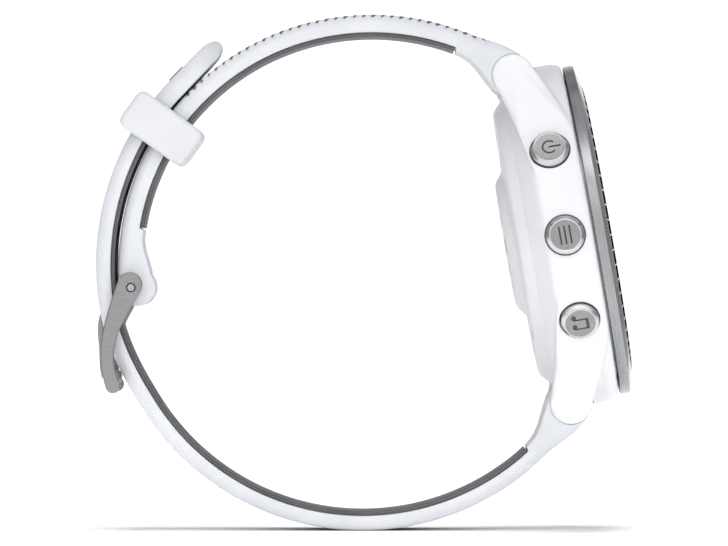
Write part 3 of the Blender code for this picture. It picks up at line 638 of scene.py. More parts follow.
def make_case():
    shell = [
        (0, CASE_TOP), (23.75, CASE_TOP), (CASE_R, -1.5), (CASE_R, -6.7), (20.6, CASE_BOTTOM), (0, CASE_BOTTOM),
    ]
    case = new_object("case", turned(soften(shell, [0, 0.35, 0.5, 1.0, 0.1, 0], 5, False), 160), HEAD)
    lugs = [lug_solid(side, end) for end in (1, -1) for side in (1, -1)]
    combine(case, lugs, "UNION", HEAD)
    remesh = case.modifiers.new("blend", "REMESH")
    remesh.mode = "VOXEL"
    remesh.voxel_size = BLEND_VOXEL * MM
    smooth = case.modifiers.new("soften", "SMOOTH")
    smooth.factor = 0.5
    smooth.iterations = BLEND_PASSES
    baked(case)
    cavity = [(0, 0.5), (SEAT_R, 0.5), (SEAT_R, SEAT_Z), (CAVITY_R, SEAT_Z), (CAVITY_R, -12.0), (0, -12.0)]
    cutters = [turned(cavity, 160)]
    placings = [HEAD]
    for end in (1, -1):
        cutters.append(drum(RECESS_R, -LUG_IN - 0.02, LUG_IN + 0.02, 64))
        placings.append(bar_placing(end))
        cutters.append(drum(0.6, -BAR_BORE_END, BAR_BORE_END, 24))
        placings.append(bar_placing(end))
    mouth = BUTTON_R + 0.2
    room = [(0, 17.0), (2.0, 17.0), (2.0, 22.5), (mouth, 22.5), (mouth, 27.5), (0, 27.5)]
    for angle in BUTTON_ANGLES.values():
        cutters.append(turned(room, 64))
        placings.append(radial_placing(angle))
    combine(case, cutters, "DIFFERENCE", placings)
    dress(case, case_white, "case", ["case_middle"], 32)


def make_bezel():
    wall = [
        (BEZEL_R, 0.0), (BEZEL_R, BEZEL_WALL), (BEZEL_LIP_R, BEZEL_TOP), (GLASS_R + GAP, BEZEL_TOP),
        (GLASS_R + GAP, 0.8), (CAVITY_R, 0.8), (CAVITY_R, -1), (SEAT_R - GAP, -1), (SEAT_R - GAP, 0),
    ]
    profile = soften(wall, [0.12, 0.12, 0.10, 0.08, 0, 0, 0, 0, 0], 3)
    bezel = new_object("bezel", turned(profile, 240), HEAD)
    to_head = HEAD.inverted()
    for face in bezel.data.polygons:
        centre = to_head @ (Vector(face.center) / MM)
        face.material_index = 1 if centre.z > BEZEL_WALL + 0.02 else 0
    ticks = bmesh.new()
    slope = math.atan2(BEZEL_TOP - BEZEL_WALL, BEZEL_R - BEZEL_LIP_R)
    middle_r, middle_z = (BEZEL_R + BEZEL_LIP_R) / 2 - 0.025, (BEZEL_TOP + BEZEL_WALL) / 2
    wide, sink = TICK_HALF_WIDE, TICK_HEIGHT / 2
    for middle in BUTTON_ANGLES.values():
        for k in range(-6, 7):
            turn = Matrix.Rotation(math.radians(middle + TICK_PITCH_DEG * k), 4, "Z")
            place = turn @ Matrix.Translation((middle_r, 0, middle_z)) @ Matrix.Rotation(slope, 4, "Y")
            long = 0.42 if k % 3 == 0 else 0.26
            corners = ((-long, -wide), (long, -wide), (long, wide), (-long, wide))
            face = ticks.faces.new([ticks.verts.new(place @ Vector((u, v, -sink))) for u, v in corners])
            lift = (turn @ Vector((math.sin(slope), 0, math.cos(slope)))) * TICK_HEIGHT
            extruded(ticks, face, lift)
    dress(new_object("bezel_ticks", ticks, HEAD), ink_black, "case")
    dress_keep(bezel, [bezel_brushed, bezel_polished], "case", ["bezel"], 25)


def make_glass():
    lens = [
        (0, GLASS_TOP), (GLASS_FLAT_R, GLASS_TOP), (GLASS_R, BEZEL_TOP), (GLASS_R, GLASS_BOTTOM), (0, GLASS_BOTTOM),
    ]
    glass = new_object("glass", turned(soften(lens, [0, 0.6, 0.15, 0.05, 0], 6, False), 240), HEAD)
    to_head = HEAD.inverted()
    for face in glass.data.polygons:
        centre = to_head @ (Vector(face.center) / MM)
        face.material_index = 1 if math.hypot(centre.x, centre.y) > GLASS_RIM_R else 0
    dress_keep(glass, [cover_glass, rim_black], "case", ["glass"], 30)
    mask = [(18.4, 0.86), (SEAT_R, 0.86), (SEAT_R, 1.02), (18.4, 1.02)]
    dress(new_object("glass_mask", turned(mask, 160), HEAD), sensor_black, "case")
    # Pale marks on the rim of the cover glass, given the display's glowing material: a painted glow, since printed
    # marks on glass give no light.
    fall = Matrix.Rotation(math.atan2(GLASS_TOP - BEZEL_TOP, GLASS_R - GLASS_FLAT_R), 4, "Y")
    notch = fall @ Matrix.Diagonal((0.7, 0.18, 0.05, 1))
    notches = cubes([dial_turn(6 * i + 3, 20.5, 2.155) @ notch for i in range(60)])
    dress(new_object("glass_scale_painted_glow", notches, HEAD), pale_glow, "case")
    panel = [
        (0, DISPLAY_TOP), (DISPLAY_R - 0.2, DISPLAY_TOP), (DISPLAY_R, DISPLAY_TOP - 0.2),
        (DISPLAY_R, DISPLAY_BOTTOM), (0, DISPLAY_BOTTOM),
    ]
    display = new_object("display", turned(panel, 120), HEAD)
    dress(display, display_black, "case", ["display_module"])
    places = []
    for i in range(60):
        long, wide = (1.3, 0.44) if i % 5 == 0 else (0.6, 0.18)
        place = dial_turn(6 * i, DIAL_R - long / 2, DISPLAY_TOP + 0.04)
        places.append(place @ Matrix.Diagonal((long, wide, 0.05, 1)))
    for angle, long, wide in ((125, 8.4, 0.7), (28, 13.0, 0.5)):
        place = dial_turn(angle, long / 2, DISPLAY_TOP + 0.08)
        places.append(place @ Matrix.Diagonal((long, wide, 0.05, 1)))
    dress(new_object("dial_marks", cubes(places), HEAD), pale_glow, "case")
    low, high = DISPLAY_TOP + 0.02, DISPLAY_TOP + 0.06
    band = [(10.2, low), (10.7, low), (10.7, high), (10.2, high)]
    dress(new_object("dial_ring", turned(band, 120), HEAD), dial_blue, "case")


def make_screw(i, place):
    profile = [(0, -10.25), (1.25, -10.25), (1.25, -10.85), (0.95, -10.86), (0, -10.86)]
    head = turned(soften(profile, [0, 0.05, 0.2, 0.1, 0], 3, False), 40)
    screw = new_object(f"screw_{i + 1}", head, place)
    star = [polar((0, 0), 0.62 if k % 2 == 0 else 0.4, 30 * k + 17 * i) for k in range(12)]
    combine(screw, [prism(star, -11.2, -10.5, "Z")], "DIFFERENCE", place)
    dress(screw, screw_steel, "case", [f"back_screw_{i + 1}"])
    shank = new_object(f"screw_shank_{i + 1}", drum(0.5, -10.3, -7.0, 24), place)
    dress(shank, screw_steel, "case")


def make_back():
    cover = [
        (20.62, -9.12), (20.2, -9.5), (18.75, BACK_Z), (BUMP_R, BACK_Z), (BUMP_TOP_R, BUMP_Z),
        (WINDOW_R + GAP, BUMP_Z), (WINDOW_R + GAP, -11.4), (8.0, -11.4), (8.0, -9.24),
    ]
    back = new_object("back", turned(soften(cover, [0, 0.2, 0.7, 0.9, 0.7, 0.15, 0, 0, 0], 5), 160), HEAD)
    screw_room = [(0, -8.0), (0.9, -8.0), (0.9, -10.1), (1.5, -10.1), (1.5, -12.0), (0, -12.0)]
    cutters, placings = [], []
    for i in range(4):
        place = HEAD @ dial_turn(45 + 90 * i, SCREW_CIRCLE, 0)
        cutters.append(turned(screw_room, 40))
        placings.append(place)
        make_screw(i, place)
    port = [(u, CONTACT_Y + v) for u, v in ((-4.1, -1.7), (4.1, -1.7), (4.1, 1.7), (-4.1, 1.7))]
    cutters.append(prism(soften(port, 0.9, 5), BACK_Z - 1, BACK_Z + 1, "Z"))
    placings.append(HEAD)
    combine(back, cutters, "DIFFERENCE", placings)
    dress(back, case_white, "case", ["back_cover"], 30)
    window = [(0, -11.4), (WINDOW_R, -11.4), (WINDOW_R, -12.2), (WINDOW_R - 0.3, -12.31), (0, -12.31)]
    made = new_object("sensor_window", turned(soften(window, [0, 0, 0.1, 0.2, 0], 3, False), 96), HEAD)
    dress(made, sensor_black, "case", ["sensor_window"])
    eyes = ((0, 0, 1.5), (3.6, 0, 0.8), (-3.6, 0, 0.8), (0, 3.6, 0.8), (0, -3.6, 0.8))
    for i, (x, y, radius) in enumerate(eyes):
        lens = turned([(0, -12.25), (radius, -12.25), (radius, -12.33), (0, -12.345)], 32)
        bmesh.ops.translate(lens, verts=lens.verts, vec=(x, y, 0))
        eye = new_object(f"sensor_eye_{i + 1}", lens, HEAD)
        dress(eye, led_green if i else display_black, "case")
    for i in range(4):
        pad = soften([(0, -10.15), (0.6, -10.15), (0.6, -10.75), (0, -10.85)], [0, 0, 0.2, 0], 4, False)
        place = HEAD @ Matrix.Translation((CONTACT_PITCH * (i - 1.5), CONTACT_Y, 0))
        contact = new_object(f"contact_{i + 1}", turned(pad, 32), place)
        dress(contact, contact_gold, "case", [f"charging_contact_{i + 1}"])


def stroke(points, half):
    """A line of even width with round ends, as a flat outline."""
    sides = offset_outline(points, [half] * len(points))
    count = len(points)
    left, right = sides[:count], sides[count:]
    first, last = headings(points)[0], headings(points)[-1]
    start = math.degrees(math.atan2(first[1], first[0]))
    end = math.degrees(math.atan2(last[1], last[0]))
    nose = arc(points[-1], half, end + 90, end - 90, 8)[1:-1]
    tail = arc(points[0], half, start - 90, start - 270, 8)[1:-1]
    return left + nose + right + tail


def icon_outlines(name):
    """The mark on a cap, with its top towards the face of the watch (first coordinate)."""
    if name == "light":
        ring = [polar((0, 0), 0.95, degrees) for degrees in range(52, 309, 8)]
        return [stroke(ring, 0.13), stroke([(0.0, 0.0), (0.8, 0.0), (1.5, 0.0)], 0.13)]
    if name == "menu":
        return [stroke([(x, -1.2), (x, 0.0), (x, 1.2)], 0.12) for x in (-0.72, 0.0, 0.72)]
    if name == "music":
        ring = arc((0, 0), 1.0, 0, 342, 19)
        heads = [[(x + 0.34 * u, y + 0.42 * v) for u, v in ring] for x, y in ((-0.85, 0.95), (-0.85, -0.5))]
        stems = [stroke([(-0.85, y), (0.1, y), (1.0, y)], 0.11) for y in (0.58, -0.87)]
        beam = [[(0.8, 0.69), (1.2, 0.69), (1.2, -0.98), (0.8, -0.98)]]
        return heads + stems + beam
    if name == "start":
        return [soften([(0.9, 0.0), (-0.6, 0.85), (-0.6, -0.85)], 0.15, 3)]
    stem = stroke([(0.0, 1.0), (0.0, 0.0), (0.0, -1.0)], 0.13)
    return [stem, stroke([(0.5, 0.5), (0.0, 1.0), (-0.5, 0.5)], 0.13)]


def make_buttons():
    top, face_top = BUTTON_TOP, BUTTON_TOP - 0.06
    cap = [
        (0, 18.9), (0.85, 18.9), (0.85, 23.2), (BUTTON_R, 23.2), (BUTTON_R, top - 0.42),
        (2.22, top), (BUTTON_FACE_R, face_top), (0, face_top),
    ]
    cap = soften(cap, [0, 0, 0, 0.08, 0.12, 0.06, 0.03, 0], 3, False)
    for name, angle in BUTTON_ANGLES.items():
        placing = radial_placing(angle)
        obj = new_object(f"cap_{name}", turned(cap, 96), placing)
        cutters = [prism(outline, top - 0.24, top + 1, "Z") for outline in icon_outlines(name)]
        combine(obj, cutters, "DIFFERENCE", placing)
        back = placing.inverted()
        layer = obj.data.uv_layers[0].data
        for face in obj.data.polygons:
            points = [back @ (Vector(obj.data.vertices[v].co) / MM) for v in face.vertices]
            centre = sum(points, Vector()) / len(points)
            on_face = centre.z > top - 0.08 and math.hypot(centre.x, centre.y) < BUTTON_FACE_R + 0.02
            face.material_index = 0 if on_face else 1
            for loop, point in zip(face.loop_indices, points):
                layer[loop].uv = (point.x, point.y)
        body = f"button_{name}"
        dress_keep(obj, [cap_brushed, cap_polished], body, [body], 28)
        inlay = bmesh.new()
        for outline in icon_outlines(name):
            face = inlay.faces.new([inlay.verts.new((x, y, top - 0.235)) for x, y in outline])
            extruded(inlay, face, (0, 0, 0.05))
        dress(new_object(f"cap_mark_{name}", inlay, placing), ink_black, body)


# ---------------------------------------------------------------- straps


def head_point(a, b):
    return (HEAD_X + a * COS - b * SIN, HEAD_Z + a * SIN + b * COS)


UPPER_PIN = head_point(PIN_A, PIN_B)
LOWER_PIN = head_point(PIN_A, -PIN_B)


def upper_spiral(degrees):
    return UPPER_R - UPPER_SHRINK * (degrees - UPPER_R_DEG)


def upper_path():
    pin_radius, pin_angle = polar_of(UPPER_MID, UPPER_PIN)
    drop = upper_spiral(pin_angle) - pin_radius
    count = round((UPPER_LAST_DEG - pin_angle) / UPPER_STEP_DEG)
    points = []
    for i in range(count + 1):
        degrees = pin_angle + (UPPER_LAST_DEG - pin_angle) * i / count
        lead = max(0.0, (UPPER_JOIN_DEG - degrees) / (UPPER_JOIN_DEG - pin_angle))
        points.append(polar(UPPER_MID, upper_spiral(degrees) - drop * lead**2, degrees))
    return points


def lower_radius(turn, pin_turn, drop):
    lead = max(0.0, (LOWER_JOIN_TURN - turn) / (LOWER_JOIN_TURN - pin_turn))
    rise = RISE * smoothstep((turn - RISE_TURN) / RISE_SPAN)
    spread = SPREAD * max(0.0, turn - SPREAD_TURN)
    return LOWER_R - drop * lead**2 + rise + spread


def tail_fairing(travel):
    reach = min(travel, FAIR_LENGTH)
    return FAIR_SLOPE * (reach - reach**2 / (2 * FAIR_LENGTH))


def lower_path():
    pin_radius, pin_angle = polar_of(LOWER_MID, LOWER_PIN)
    pin_turn, drop = -pin_angle, LOWER_R - pin_radius
    count = round((LOWER_LAST_TURN - pin_turn) / LOWER_STEP_DEG)
    points = []
    for i in range(count + 1):
        turn = pin_turn + (LOWER_LAST_TURN - pin_turn) * i / count
        points.append(polar(LOWER_MID, lower_radius(turn, pin_turn, drop), -turn))
    start = points[-1]
    along = (math.cos(TAIL_HEADING), math.sin(TAIL_HEADING))
    for k in range(1, TAIL_STEPS + 1):
        travel = TAIL_LENGTH * (1 - (1 - k / TAIL_STEPS) ** 1.6)
        fairing = tail_fairing(travel)
        points.append((
            start[0] + along[0] * travel - along[1] * fairing,
            start[1] + along[1] * travel + along[0] * fairing,
        ))
    return points


def swell(travel, length=SWELL_LENGTH):
    return 0.5 + 0.5 * math.cos(math.pi * min(travel / length, 1.0))


def strap_sizes(travel, total, thickness, at_pin, liner, tail):
    amount = swell(travel)
    half = STRAP_HALF + (SHOULDER_HALF - STRAP_HALF) * swell(travel, SHOULDER_LENGTH)
    top = thickness / 2 + (at_pin[0] - thickness / 2) * amount
    bottom = thickness / 2 + (at_pin[1] - thickness / 2) * amount
    if liner[0] <= travel <= liner[1]:
        bottom = thickness / 2 - LINER_T - LINER_SINK
    if not tail:
        flare = smoothstep(1 - (total - travel) / BULB_NECK)
        top += (BULB_OUT - top) * flare
        bottom += (BULB_IN - bottom) * flare
    if tail:
        nose = max(0.0, 1 - (total - travel) / NOSE_LENGTH)
        taper = max(0.0, 1 - (total - travel) / TAPER_LENGTH)
        half *= math.sqrt(1 - TAPER_SHARE * taper**2)
        top *= math.sqrt(1 - NOSE_SHARE * nose**2)
        bottom *= math.sqrt(1 - NOSE_SHARE * nose**2)
    return half, top, bottom


def section(half, top, bottom):
    depth, side = min(1.1, 0.6 * (top + bottom)), min(0.9, 0.5 * half)
    corners = [
        (-half, -bottom), (half, -bottom), (half, top - depth),
        (half - side, top), (side - half, top), (-half, top - depth),
    ]
    low = min(0.3, 0.4 * (top + bottom - depth))
    return soften(corners, [low, low, 0.5, 0.55, 0.55, 0.5], 4)


def strap_mesh(points, outward, thickness, at_pin, liner, tail, dashes=None):
    travels = distances(points)
    rings = []
    for (x, z), (dx, dz), travel in zip(points, headings(points), travels):
        half, top, bottom = strap_sizes(travel, travels[-1], thickness, at_pin, liner, tail)
        nx, nz = -dz * outward, dx * outward
        ring = []
        for y, n in section(half, top, bottom):
            if dashes and dashes[0] <= travel <= dashes[1] and n > top - 0.62:
                n -= dash_depth(travel, y, half)
            ring.append((x + nx * n, y, z + nz * n))
        rings.append(ring)
    bm = rings_mesh(rings, uv=lambda i, j: (travels[min(i, len(travels) - 1)], j * 0.8))
    # Faces of the deeper grooves along the strap's top corners take the second material, a darker grey: painted shade
    # in the grooves.
    if dashes:
        bm.faces.ensure_lookup_table()
        count = len(rings[0])
        for i in range(len(rings) - 1):
            if not dashes[0] <= travels[i] <= dashes[1]:
                continue
            for j in list(range(16, 19)) + list(range(20, 23)):
                if dash_depth(travels[i], STRAP_HALF, STRAP_HALF) > 0.06:
                    bm.faces[i * count + j].material_index = 1
    return bm


def dash_depth(travel, y, half):
    """How deep the fine slanted grooves of the short strap are at a point."""
    phase = ((travel + DASH_SLANT * abs(y)) / DASH_PITCH) % 1.0
    deepest = 0.16 if abs(y) > half - 1.25 else 0.07
    return deepest * smoothstep((0.24 - abs(phase - 0.5)) / 0.1)


def liner_mesh(points, outward, thickness, liner, tail):
    travels = distances(points)
    plain = (thickness / 2, thickness / 2)
    rings = []
    for (x, z), (dx, dz), travel in zip(points, headings(points), travels):
        if not liner[0] + 0.1 <= travel <= liner[1] - 0.1:
            continue
        half = strap_sizes(travel, travels[-1], thickness, plain, (0, 0), tail)[0]
        nx, nz = -dz * outward, dx * outward
        low, high = -thickness / 2, LINER_T - thickness / 2
        corners = [(-half, low), (half, low), (half, high), (-half, high)]
        rings.append([(x + nx * n, y, z + nz * n) for y, n in soften(corners, [0.18, 0.18, 0.1, 0.1], 3)])
    return rings_mesh(rings)


def lug_end_cutters(pin, inward):
    hub_half = LUG_IN - GAP
    cutters = []
    for side in (1, -1):
        low, high = sorted((side * hub_half, side * (SHOULDER_HALF + 2)))
        cutters.append(plane_drum(pin, HUB_R, low, high, 72))
    cutters.append(plane_drum(pin, 1.0, -SHOULDER_HALF, SHOULDER_HALF, 32))
    across = (-inward[1], inward[0])
    near, far = LEVER_SLOT_DEPTH
    half = LEVER_SLOT_HALF
    outline = [
        (pin[0] + inward[0] * depth + across[0] * side, pin[1] + inward[1] * depth + across[1] * side)
        for depth, side in ((near, -half), (far, -half), (far, half), (near, half))
    ]
    cutters.append(prism(outline, *LEVER_SLOT_Y))
    return cutters


def inward_direction(points, outward):
    dx, dz = headings(points)[0]
    return (dz * outward, -dx * outward)


def hole_posts(points, outward):
    travels, dirs = distances(points), headings(points)
    turns = [polar_of(LOWER_MID, point)[1] % 360 for point in points]
    i = max(j for j in range(len(points)) if turns[j] >= TONGUE_HOLE_DEG)
    part_way = (turns[i] - TONGUE_HOLE_DEG) / (turns[i] - turns[i + 1])
    in_use = travels[i] + (travels[i + 1] - travels[i]) * part_way
    whole = bmesh.new()
    straight = (HOLE_LONG - HOLE_WIDE) / 2
    for k in range(-HOLES_BELOW, HOLES_ABOVE + 1):
        target = in_use + HOLE_PITCH * k
        i = max(j for j in range(len(points)) if travels[j] <= target)
        share = (target - travels[i]) / (travels[i + 1] - travels[i])
        x = points[i][0] + (points[i + 1][0] - points[i][0]) * share
        z = points[i][1] + (points[i + 1][1] - points[i][1]) * share
        along, normal = dirs[i], (-dirs[i][1] * outward, dirs[i][0] * outward)
        oval = arc((straight, 0), HOLE_WIDE / 2, -90, 90, 16)
        oval += arc((-straight, 0), HOLE_WIDE / 2, 90, 270, 16)
        base_x, base_z = x - normal[0] * HOLE_CUT, z - normal[1] * HOLE_CUT
        corners = [(base_x + along[0] * u, v, base_z + along[1] * u) for u, v in oval]
        face = whole.faces.new([whole.verts.new(corner) for corner in corners])
        extruded(whole, face, (2 * HOLE_CUT * normal[0], 0, 2 * HOLE_CUT * normal[1]))
    bmesh.ops.recalc_face_normals(whole, faces=whole.faces)
    return whole


def hub(pin):
    return plane_drum(pin, HUB_R, GAP - LUG_IN, LUG_IN - GAP, 72)


def make_upper():
    points = upper_path()
    liner = (LINER_START, distances(points)[-1] - UPPER_LINER_END)
    body = strap_mesh(points, -1, UPPER_T, UPPER_AT_PIN, liner, False, DASH_SPAN)
    strap = new_object("strap_short", body, WATCH)
    bulb = prism(arc(BULB_CENTRE, BULB_R, 0, 355, 71), -STRAP_HALF, STRAP_HALF)
    combine(strap, [hub(UPPER_PIN), bulb], "UNION", WATCH)
    cutters = lug_end_cutters(UPPER_PIN, inward_direction(points, -1))
    room = TONGUE_HALF + GAP
    cutters.append(plane_drum(BUCKLE_PIN, TONGUE_ROOM_R, -room, room, 64))
    cutters.append(plane_drum(BUCKLE_PIN, BUCKLE_EYE_BORE_R, -BUCKLE_BORE_END, BUCKLE_BORE_END, 32))
    combine(strap, cutters, "DIFFERENCE", WATCH)
    dress_keep(strap, [strap_white, groove_painted_shade], "upper_strap", ["upper_strap"], 32)
    inner = new_object("liner_short", liner_mesh(points, -1, UPPER_T, liner, False), WATCH)
    dress(inner, liner_grey, "upper_strap", ["upper_liner"], 40)


def make_lower():
    points = lower_path()
    liner = (LINER_START, distances(points)[-1] - LOWER_LINER_END)
    strap = new_object("strap_long", strap_mesh(points, 1, LOWER_T, LOWER_AT_PIN, liner, True), WATCH)
    combine(strap, [hub(LOWER_PIN)], "UNION", WATCH)
    cutters = lug_end_cutters(LOWER_PIN, inward_direction(points, 1)) + [hole_posts(points, 1)]
    combine(strap, cutters, "DIFFERENCE", WATCH)
    dress(strap, strap_white, "lower_strap", ["lower_strap"], 32)
    inner = new_object("liner_long", liner_mesh(points, 1, LOWER_T, liner, True), WATCH)
    combine(inner, [hole_posts(points, 1)], "DIFFERENCE", WATCH)
    dress(inner, liner_grey, "lower_strap", ["lower_liner"], 40)
    make_tail_pad(points)


def make_tail_pad(points):
    middle = min(range(len(points)), key=lambda i: math.dist(points[i], TAIL_PAD_AT))
    (x, z), (dx, dz) = points[middle], headings(points)[middle]
    layers = (
        ("tail_pad", 1.30, 1.50, 1.42, 4.6, strap_white),
        ("tail_pad_rim", 1.49, 1.62, 1.34, 4.5, rubber_black),
    )
    for name, low, high, long, wide, material in layers:
        corners = ((-long, low), (long, low), (long, high), (-long, high))
        outline = [(x + dx * u - dz * n, z + dz * u + dx * n) for u, n in corners]
        pad = new_object(name, prism(outline, -wide, wide), WATCH)
        bevelled(pad, 0.06, 2)
        dress(pad, material, "lower_strap")


def make_keeper():
    outward = (math.cos(KEEPER_ANGLE), math.sin(KEEPER_ANGLE))
    along = (-outward[1], outward[0])
    centre = (UPPER_MID[0] + outward[0] * KEEPER_R, UPPER_MID[1] + outward[1] * KEEPER_R)

    def placed(u, v):
        return (centre[0] + outward[0] * u + along[0] * v, centre[1] + outward[1] * u + along[1] * v)

    half_u, half_v = KEEPER_RADIAL / 2, KEEPER_LENGTH / 2
    corners = [(half_u, -half_v), (half_u, half_v), (-half_u, half_v), (-half_u, -half_v)]
    rounded = soften(corners, 1.35, 8)
    rims = []
    for i in range(17):
        angle = math.pi / 2 * i / 16
        inset = KEEPER_RIM * (1 - math.sin(angle))
        rims.append((-KEEPER_HALF + KEEPER_RIM * (1 - math.cos(angle)), inset))
    rims += [(-y, inset) for y, inset in rims[::-1]]
    rings = []
    for y, inset in rims:
        shrunk = [placed(u * (1 - inset / half_u), v * (1 - inset / half_v)) for u, v in rounded]
        rings.append([(x, y, z) for x, z in shrunk])
    keeper = new_object("keeper_loop", rings_mesh(rings), WATCH)
    near, far = KEEPER_WINDOW
    window = [placed(u, v) for u, v in ((near, -4), (far, -4), (far, 4), (near, 4))]
    half_room = STRAP_HALF + KEEPER_SIDE_ROOM
    combine(keeper, [prism(window, -half_room, half_room)], "DIFFERENCE", WATCH)
    dress(keeper, keeper_white, "keeper", ["keeper"], 40)


def arm_outline():
    points = [bezier(ARM_ROUTE, i / ARM_STEPS) for i in range(ARM_STEPS + 1)]
    shares = [i / ARM_STEPS for i in range(ARM_STEPS + 1)]
    halves = [0.62 + 1.15 * (1 - share) ** 1.6 + 0.42 * share**3 for share in shares]
    sides = offset_outline(points, halves)
    eye_turn = polar_of(points[0], points[1])[1]
    foot_turn = polar_of(points[-2], points[-1])[1]
    foot = arc(points[-1], halves[-1], foot_turn + 90, foot_turn - 90, 24)[1:-1]
    eye = arc(points[0], halves[0], eye_turn - 90, eye_turn - 270, 40)[1:-1]
    return sides[: len(points)] + foot + sides[len(points) :] + eye


def cross_bar_outline():
    cos, sin = math.cos(CROSS_BAR_LEAN), math.sin(CROSS_BAR_LEAN)
    short, long = CROSS_BAR_HALF
    return [
        (CROSS_BAR[0] + short * u * cos + long * v * sin, CROSS_BAR[1] - short * u * sin + long * v)
        for u, v in arc((0, 0), 1.0, 0, 350, 35)
    ]


def make_buckle():
    for side, (low, high) in (("left", (-ARM_OUT, -ARM_IN)), ("right", (ARM_IN, ARM_OUT))):
        arm = new_object(f"buckle_arm_{side}", prism(arm_outline(), low, high), WATCH)
        bore = plane_drum(BUCKLE_PIN, BUCKLE_EYE_BORE_R, -BUCKLE_BORE_END, BUCKLE_BORE_END, 32)
        combine(arm, [bore], "DIFFERENCE", WATCH)
        bevelled(arm, 0.22, 3, 40, 1)
        nodes = ["buckle_frame"] if side == "left" else []
        dress_keep(arm, [buckle_satin, buckle_edge], "buckle_frame", nodes, 40)
    bar = new_object("buckle_bar", prism(cross_bar_outline(), -ARM_IN - 0.05, ARM_IN + 0.05), WATCH)
    dress(bar, buckle_satin, "buckle_frame", sharp=60)
    pin = new_object("pin", plane_drum(BUCKLE_PIN, BUCKLE_PIN_R, -ARM_OUT, ARM_OUT, 32), WATCH)
    dress(pin, pin_steel, "upper_strap", ["buckle_pin"], 40)
    line = [bezier(TONGUE_ROUTE, i / 24) for i in range(3, 25)] + TONGUE_TIP
    halves = [0.45] * (len(line) - 1) + [0.32]
    tongue = new_object("tongue", prism(offset_outline(line, halves), -TONGUE_HALF, TONGUE_HALF), WATCH)
    combine(tongue, [plane_drum(BUCKLE_PIN, 1.3, -TONGUE_HALF, TONGUE_HALF, 48)], "UNION", WATCH)
    combine(tongue, [plane_drum(BUCKLE_PIN, 0.75, -2, 2, 32)], "DIFFERENCE", WATCH)
    bevelled(tongue, 0.12, 2, 40, 1)
    dress_keep(tongue, [buckle_satin, buckle_edge], "buckle_tongue", ["buckle_tongue"], 40)


# ---------------------------------------------------------------- hidden parts, floor, light and camera


def dress_hidden():
    """The small parts inside keep their CAD shape and get finishes of their own."""
    bars = ["spring_bar_upper", "spring_bar_lower", "quick_release_upper", "quick_release_lower"]
    seals = [f"button_seal_{name}" for name in BUTTON_ANGLES]
    switches = [f"button_switch_{name}" for name in BUTTON_ANGLES]
    groups = (
        (pin_steel, bars + ["vibration_motor"]),
        (rubber_black, ["bezel_gasket"] + seals + switches),
        (sensor_black, ["gps_antenna"]),
        (board_green, ["main_board", "sensor_board"]),
        (battery_foil, ["battery"]),
        (contact_gold, ["beeper"]),
    )
    for material, names in groups:
        for name in names:
            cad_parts[name].data.materials.clear()
            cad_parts[name].data.materials.append(material)


def make_floor():
    bm = bmesh.new()
    bmesh.ops.create_grid(bm, x_segments=8, y_segments=8, size=1)
    floor = new_object("floor", bm, Matrix.Diagonal((4000, 4000, 1, 1)))
    floor.location.z = -0.00002
    material, tree, shader = material_base("floor_pale", (0.92, 0.92, 0.92), 0.8)
    mottle = mapped_noise(tree, "Object", (300, 300, 300), 2.0)
    tint = mixed(tree, ranged(tree, mottle, 0, 1), (0.90, 0.90, 0.90), (0.93, 0.93, 0.93))
    tree.links.new(tint, shader.inputs["Base Color"])
    source = tree.nodes.new("ShaderNodeTexCoord")
    away = tree.nodes.new("ShaderNodeVectorMath")
    away.operation = "LENGTH"
    tree.links.new(source.outputs["Object"], away.inputs[0])
    tree.links.new(ranged(tree, away.outputs["Value"], 1.0, 0.0, 0.07, 0.30), shader.inputs["Alpha"])
    shader.inputs["Specular IOR Level"].default_value = 0.1
    floor.data.materials.append(material)
    return floor


def area_light(name, place, target, width, height, power):
    data = bpy.data.lights.new(name, "AREA")
    data.shape = "RECTANGLE"
    data.size, data.size_y = width, height
    data.energy = power
    light = bpy.data.objects.new(name, data)
    light.location = place
    light.rotation_euler = (Vector(target) - Vector(place)).to_track_quat("-Z", "Y").to_euler()
    light.visible_camera = False
    bpy.context.scene.collection.objects.link(light)
    return light


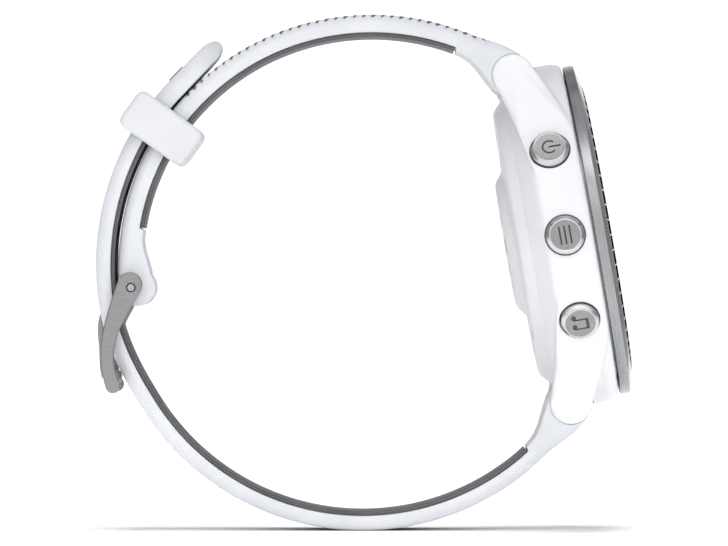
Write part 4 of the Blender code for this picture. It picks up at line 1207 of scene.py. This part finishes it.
def make_world():
    world = bpy.data.worlds.new("studio")
    world.use_nodes = True
    bpy.context.scene.world = world
    tree = world.node_tree
    background = tree.nodes["Background"]
    source = tree.nodes.new("ShaderNodeTexCoord")
    parts = tree.nodes.new("ShaderNodeSeparateXYZ")
    tree.links.new(source.outputs["Generated"], parts.inputs["Vector"])
    along = tree.nodes.new("ShaderNodeValToRGB")
    fill_ramp(along, (
        (0.0, 1.12), (0.16, 1.08), (0.34, 0.45), (0.50, 0.28), (0.66, 0.45),
        (0.74, 0.12), (0.80, 0.3), (0.955, 0.36), (0.985, 1.20), (1.0, 1.20),
    ))
    tree.links.new(ranged(tree, parts.outputs["Y"], 0, 1, -1, 1), along.inputs["Fac"])
    height = tree.nodes.new("ShaderNodeValToRGB")
    fill_ramp(height, (
        (0.0, 0.5), (0.12, 0.25), (0.28, 0.65), (0.40, 1.0), (0.60, 1.0), (0.74, 1.5),
        (0.80, 0.6), (0.86, 1.8), (0.93, 1.4), (0.97, 1.6), (1.0, 2.2),
    ))
    tree.links.new(ranged(tree, parts.outputs["Z"], 0, 1, -1, 1), height.inputs["Fac"])
    blend = tree.nodes.new("ShaderNodeMix")
    blend.data_type = "RGBA"
    blend.blend_type = "MULTIPLY"
    blend.inputs[0].default_value = 1.0
    tree.links.new(along.outputs["Color"], blend.inputs[6])
    tree.links.new(height.outputs["Color"], blend.inputs[7])
    tree.links.new(blend.outputs[2], background.inputs["Color"])
    background.inputs["Strength"].default_value = 1.0


def fill_ramp(node, stops):
    """Grey stops, a little cooler where they are dark."""
    ramp = node.color_ramp
    ramp.interpolation = "EASE"
    while len(ramp.elements) > 1:
        ramp.elements.remove(ramp.elements[-1])
    ramp.elements[0].position = stops[0][0]
    for place, level in stops:
        stop = ramp.elements[0] if place == stops[0][0] else ramp.elements.new(place)
        cool = 1.035 if level < 0.9 else 1.0
        stop.color = (level / cool, level / cool**0.5, level * cool**0.5, 1)


def make_lights(floor):
    middle = (0.0, 0.0, 0.036)
    area_light("high_soft", (0.1, -0.75, 0.95), middle, 0.9, 0.5, 1.2)
    lamp = area_light("floor_fill", (0.0, 0.0, 1.3), middle, 0.6, 0.6, 12.0)
    lit = bpy.data.collections.new("lit_floor")
    lit.objects.link(floor)
    lamp.light_linking.receiver_collection = lit


def make_camera():
    data = bpy.data.cameras.new("camera")
    data.sensor_width = 36.0
    data.lens = 523.7
    data.clip_start = 0.1
    data.clip_end = 20.0
    camera = bpy.data.objects.new("camera", data)
    camera.location = (-0.00027, -1.5, 0.03626)
    camera.rotation_euler = (math.pi / 2, 0, 0)
    bpy.context.scene.collection.objects.link(camera)
    bpy.context.scene.camera = camera
    bpy.context.scene.view_settings.view_transform = "Standard"


make_case()
make_bezel()
make_glass()
make_back()
make_buttons()
make_upper()
make_lower()
make_keeper()
make_buckle()
dress_hidden()
make_world()
make_lights(make_floor())
make_camera()
